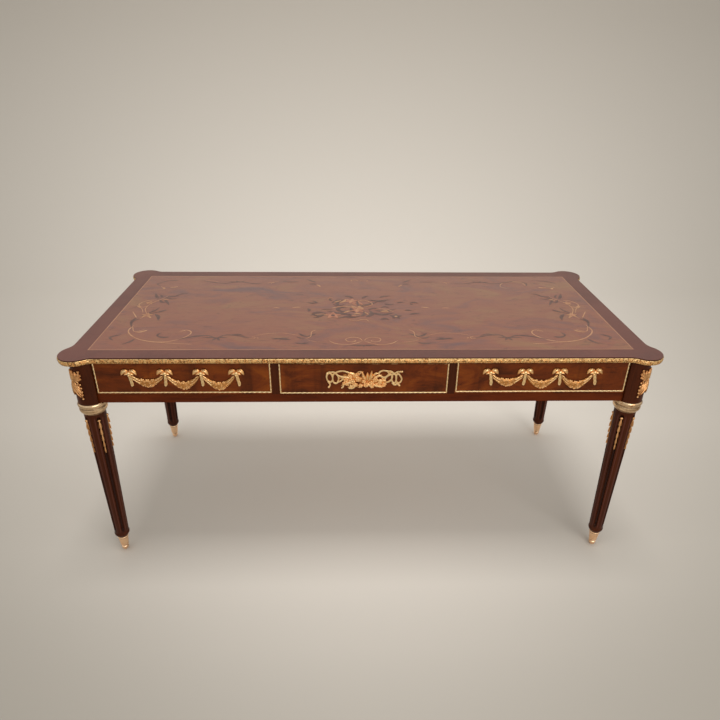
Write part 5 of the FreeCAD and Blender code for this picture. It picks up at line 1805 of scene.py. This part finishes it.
@dataclass
class Studio:
    """Camera, lights and a pale floor that curves up behind the table, with a painted pool of light on it."""

    lens: float = 29.586
    sensor: float = 36.0
    eye: Triple = (-0.06022, -1.91769, 1.55061)
    yaw: float = 1.75
    pitch: float = 27.18
    roll: float = 0.69
    # Paper colour at the heart of the painted pool of light, and far from it
    centre: Colour = (0.86, 0.80, 0.72)
    edge: Colour = (0.328, 0.300, 0.256)
    # Place along the floor and up the wall, and how far the painted pool of light has dimmed there
    falls: tuple[Point, ...] = (
        (-5.0, 0.9), (-2.2, 0.9), (-1.3, 1.75), (-0.97, 1.22), (-0.76, 0.75), (-0.55, 0.39), (-0.35, 0.235),
        (0.0, 0.16), (0.45, 0.0), (1.0, 0.06), (2.0, 0.1), (3.3, 0.3), (5.15, 0.51), (6.2, 0.61), (6.8, 0.7),
    )
    dimming: float = 1.2
    spread: Point = (0.633, 0.667)
    brightest: float = -1.3
    bend: float = 2.0
    back: float = 4.2
    top: float = 5.0
    width: float = 11.0
    front: float = -9.0
    floor_start: float = -3.0
    floor_steps: int = 12
    curve_steps: int = 25
    columns: int = 9
    # Name, place, aim, width and height, and power in watts of each lamp
    lamps: tuple[tuple[str, Triple, Triple, Point, float], ...] = (
        ("overhead", (0.0, -0.3, 14.0), (0.0, -0.3, 0.0), (4.4, 4.4), 690.0),
        ("key", (1.5, -3.3, 2.5), (0.0, 0.0, 0.6), (2.8, 2.0), 48.0),
    )
    sky: Colour = (1.0, 0.985, 0.96)
    sky_strength: float = 0.68

    def _camera(self) -> None:
        """The photograph's viewing angle."""
        yaw, pitch, roll = (math.radians(angle) for angle in (self.yaw, self.pitch, self.roll))
        ahead = Vector((math.sin(yaw) * math.cos(pitch), math.cos(yaw) * math.cos(pitch), -math.sin(pitch)))
        level = Vector((math.cos(yaw), -math.sin(yaw), 0.0))
        upright = level.cross(ahead)
        right = level * math.cos(roll) + upright * math.sin(roll)
        up = upright * math.cos(roll) - level * math.sin(roll)
        data = bpy.data.cameras.new("camera")
        data.lens, data.sensor_width = self.lens, self.sensor
        camera = bpy.data.objects.new("camera", data)
        camera.matrix_world = Matrix.Translation(self.eye) @ Matrix((right, up, -ahead)).transposed().to_4x4()
        bpy.context.scene.collection.objects.link(camera)
        bpy.context.scene.camera = camera

    def _lamp(self, name: str, place: Triple, aim: Triple, size: Point, power: float) -> None:
        """A soft square lamp.

        Args:
            name: Its name.
            place: Where it is.
            aim: Where it looks.
            size: Its width and height.
            power: Its power in watts.
        """
        data = bpy.data.lights.new(name, "AREA")
        data.shape, data.size, data.size_y, data.energy = "RECTANGLE", *size, power
        lamp = bpy.data.objects.new(name, data)
        lamp.location = place
        lamp.rotation_euler = (Vector(aim) - Vector(place)).to_track_quat("-Z", "Y").to_euler()
        bpy.context.scene.collection.objects.link(lamp)

    def _backdrop(self) -> None:
        """Floor and wall in one sweep."""
        angle = np.linspace(-math.pi / 2, 0.0, self.curve_steps)[1:]
        floor = np.linspace(self.floor_start, self.back - self.bend, self.floor_steps)
        curve = self.back - self.bend + self.bend * np.cos(angle)
        deep = np.concatenate(([self.front], floor, curve, [self.back]))
        up = np.concatenate((np.zeros(1 + len(floor)), self.bend + self.bend * np.sin(angle), [self.top]))
        across = np.linspace(-self.width, self.width, self.columns)
        sheet = np.stack((
            np.repeat(across[:, None], len(deep), axis=1),
            np.repeat(deep[None, :], self.columns, axis=0),
            np.repeat(up[None, :], self.columns, axis=0),
        ), axis=-1)
        made = sheet_object("backdrop", [(sheet, np.ones(sheet.shape[:2]))])
        made.data.materials.append(self._paper())

    def _paper(self) -> bpy.types.Material:
        """Pale paper with a painted pool of light, brightest behind and under the table.

        Returns:
            The material.
        """
        shader = Shader("backdrop")
        along = shader.axis("Y") + shader.axis("Z")
        low, high, tallest = self.falls[0][0], self.falls[-1][0], max(fall for _, fall in self.falls)
        stops = [((place - low) / (high - low), (fall / tallest,) * 3) for place, fall in self.falls]
        fall = Signal(shader, shader.ramp((along - low) * (1 / (high - low)), stops)) * tallest
        near, widening = self.spread
        across = shader.axis("X") * (near + widening * abs(along - self.brightest)) ** -1.0
        # Painted light: the pool fades across and along the sweep
        glow = 2.718 ** (-self.dimming * (across * across + fall))
        base = shader.blend(glow, self.edge, self.centre)
        return shader.finish({"Base Color": base, "Roughness": 0.9, "Specular IOR Level": 0.05})

    def build(self) -> None:
        """Sets up the studio."""
        self._camera()
        self._backdrop()
        for lamp in self.lamps:
            self._lamp(*lamp)
        world = bpy.data.worlds.new("studio")
        world.use_nodes = True
        sky = world.node_tree.nodes["Background"]
        sky.inputs["Color"].default_value = (*self.sky, 1.0)
        sky.inputs["Strength"].default_value = self.sky_strength
        bpy.context.scene.world = world
        bpy.context.scene.view_settings.view_transform = "Standard"
        log.info("studio is set")


def main() -> None:
    """Builds the table and the studio, in order."""
    logging.basicConfig(level=logging.INFO, format="%(name)s %(message)s")
    workshop = Workshop()
    Studio().build()
    TableTop().build(workshop)
    Frieze().build(workshop)
    Legs().build(workshop)
    Insides().build(workshop)


if __name__ == "__main__":
    main()
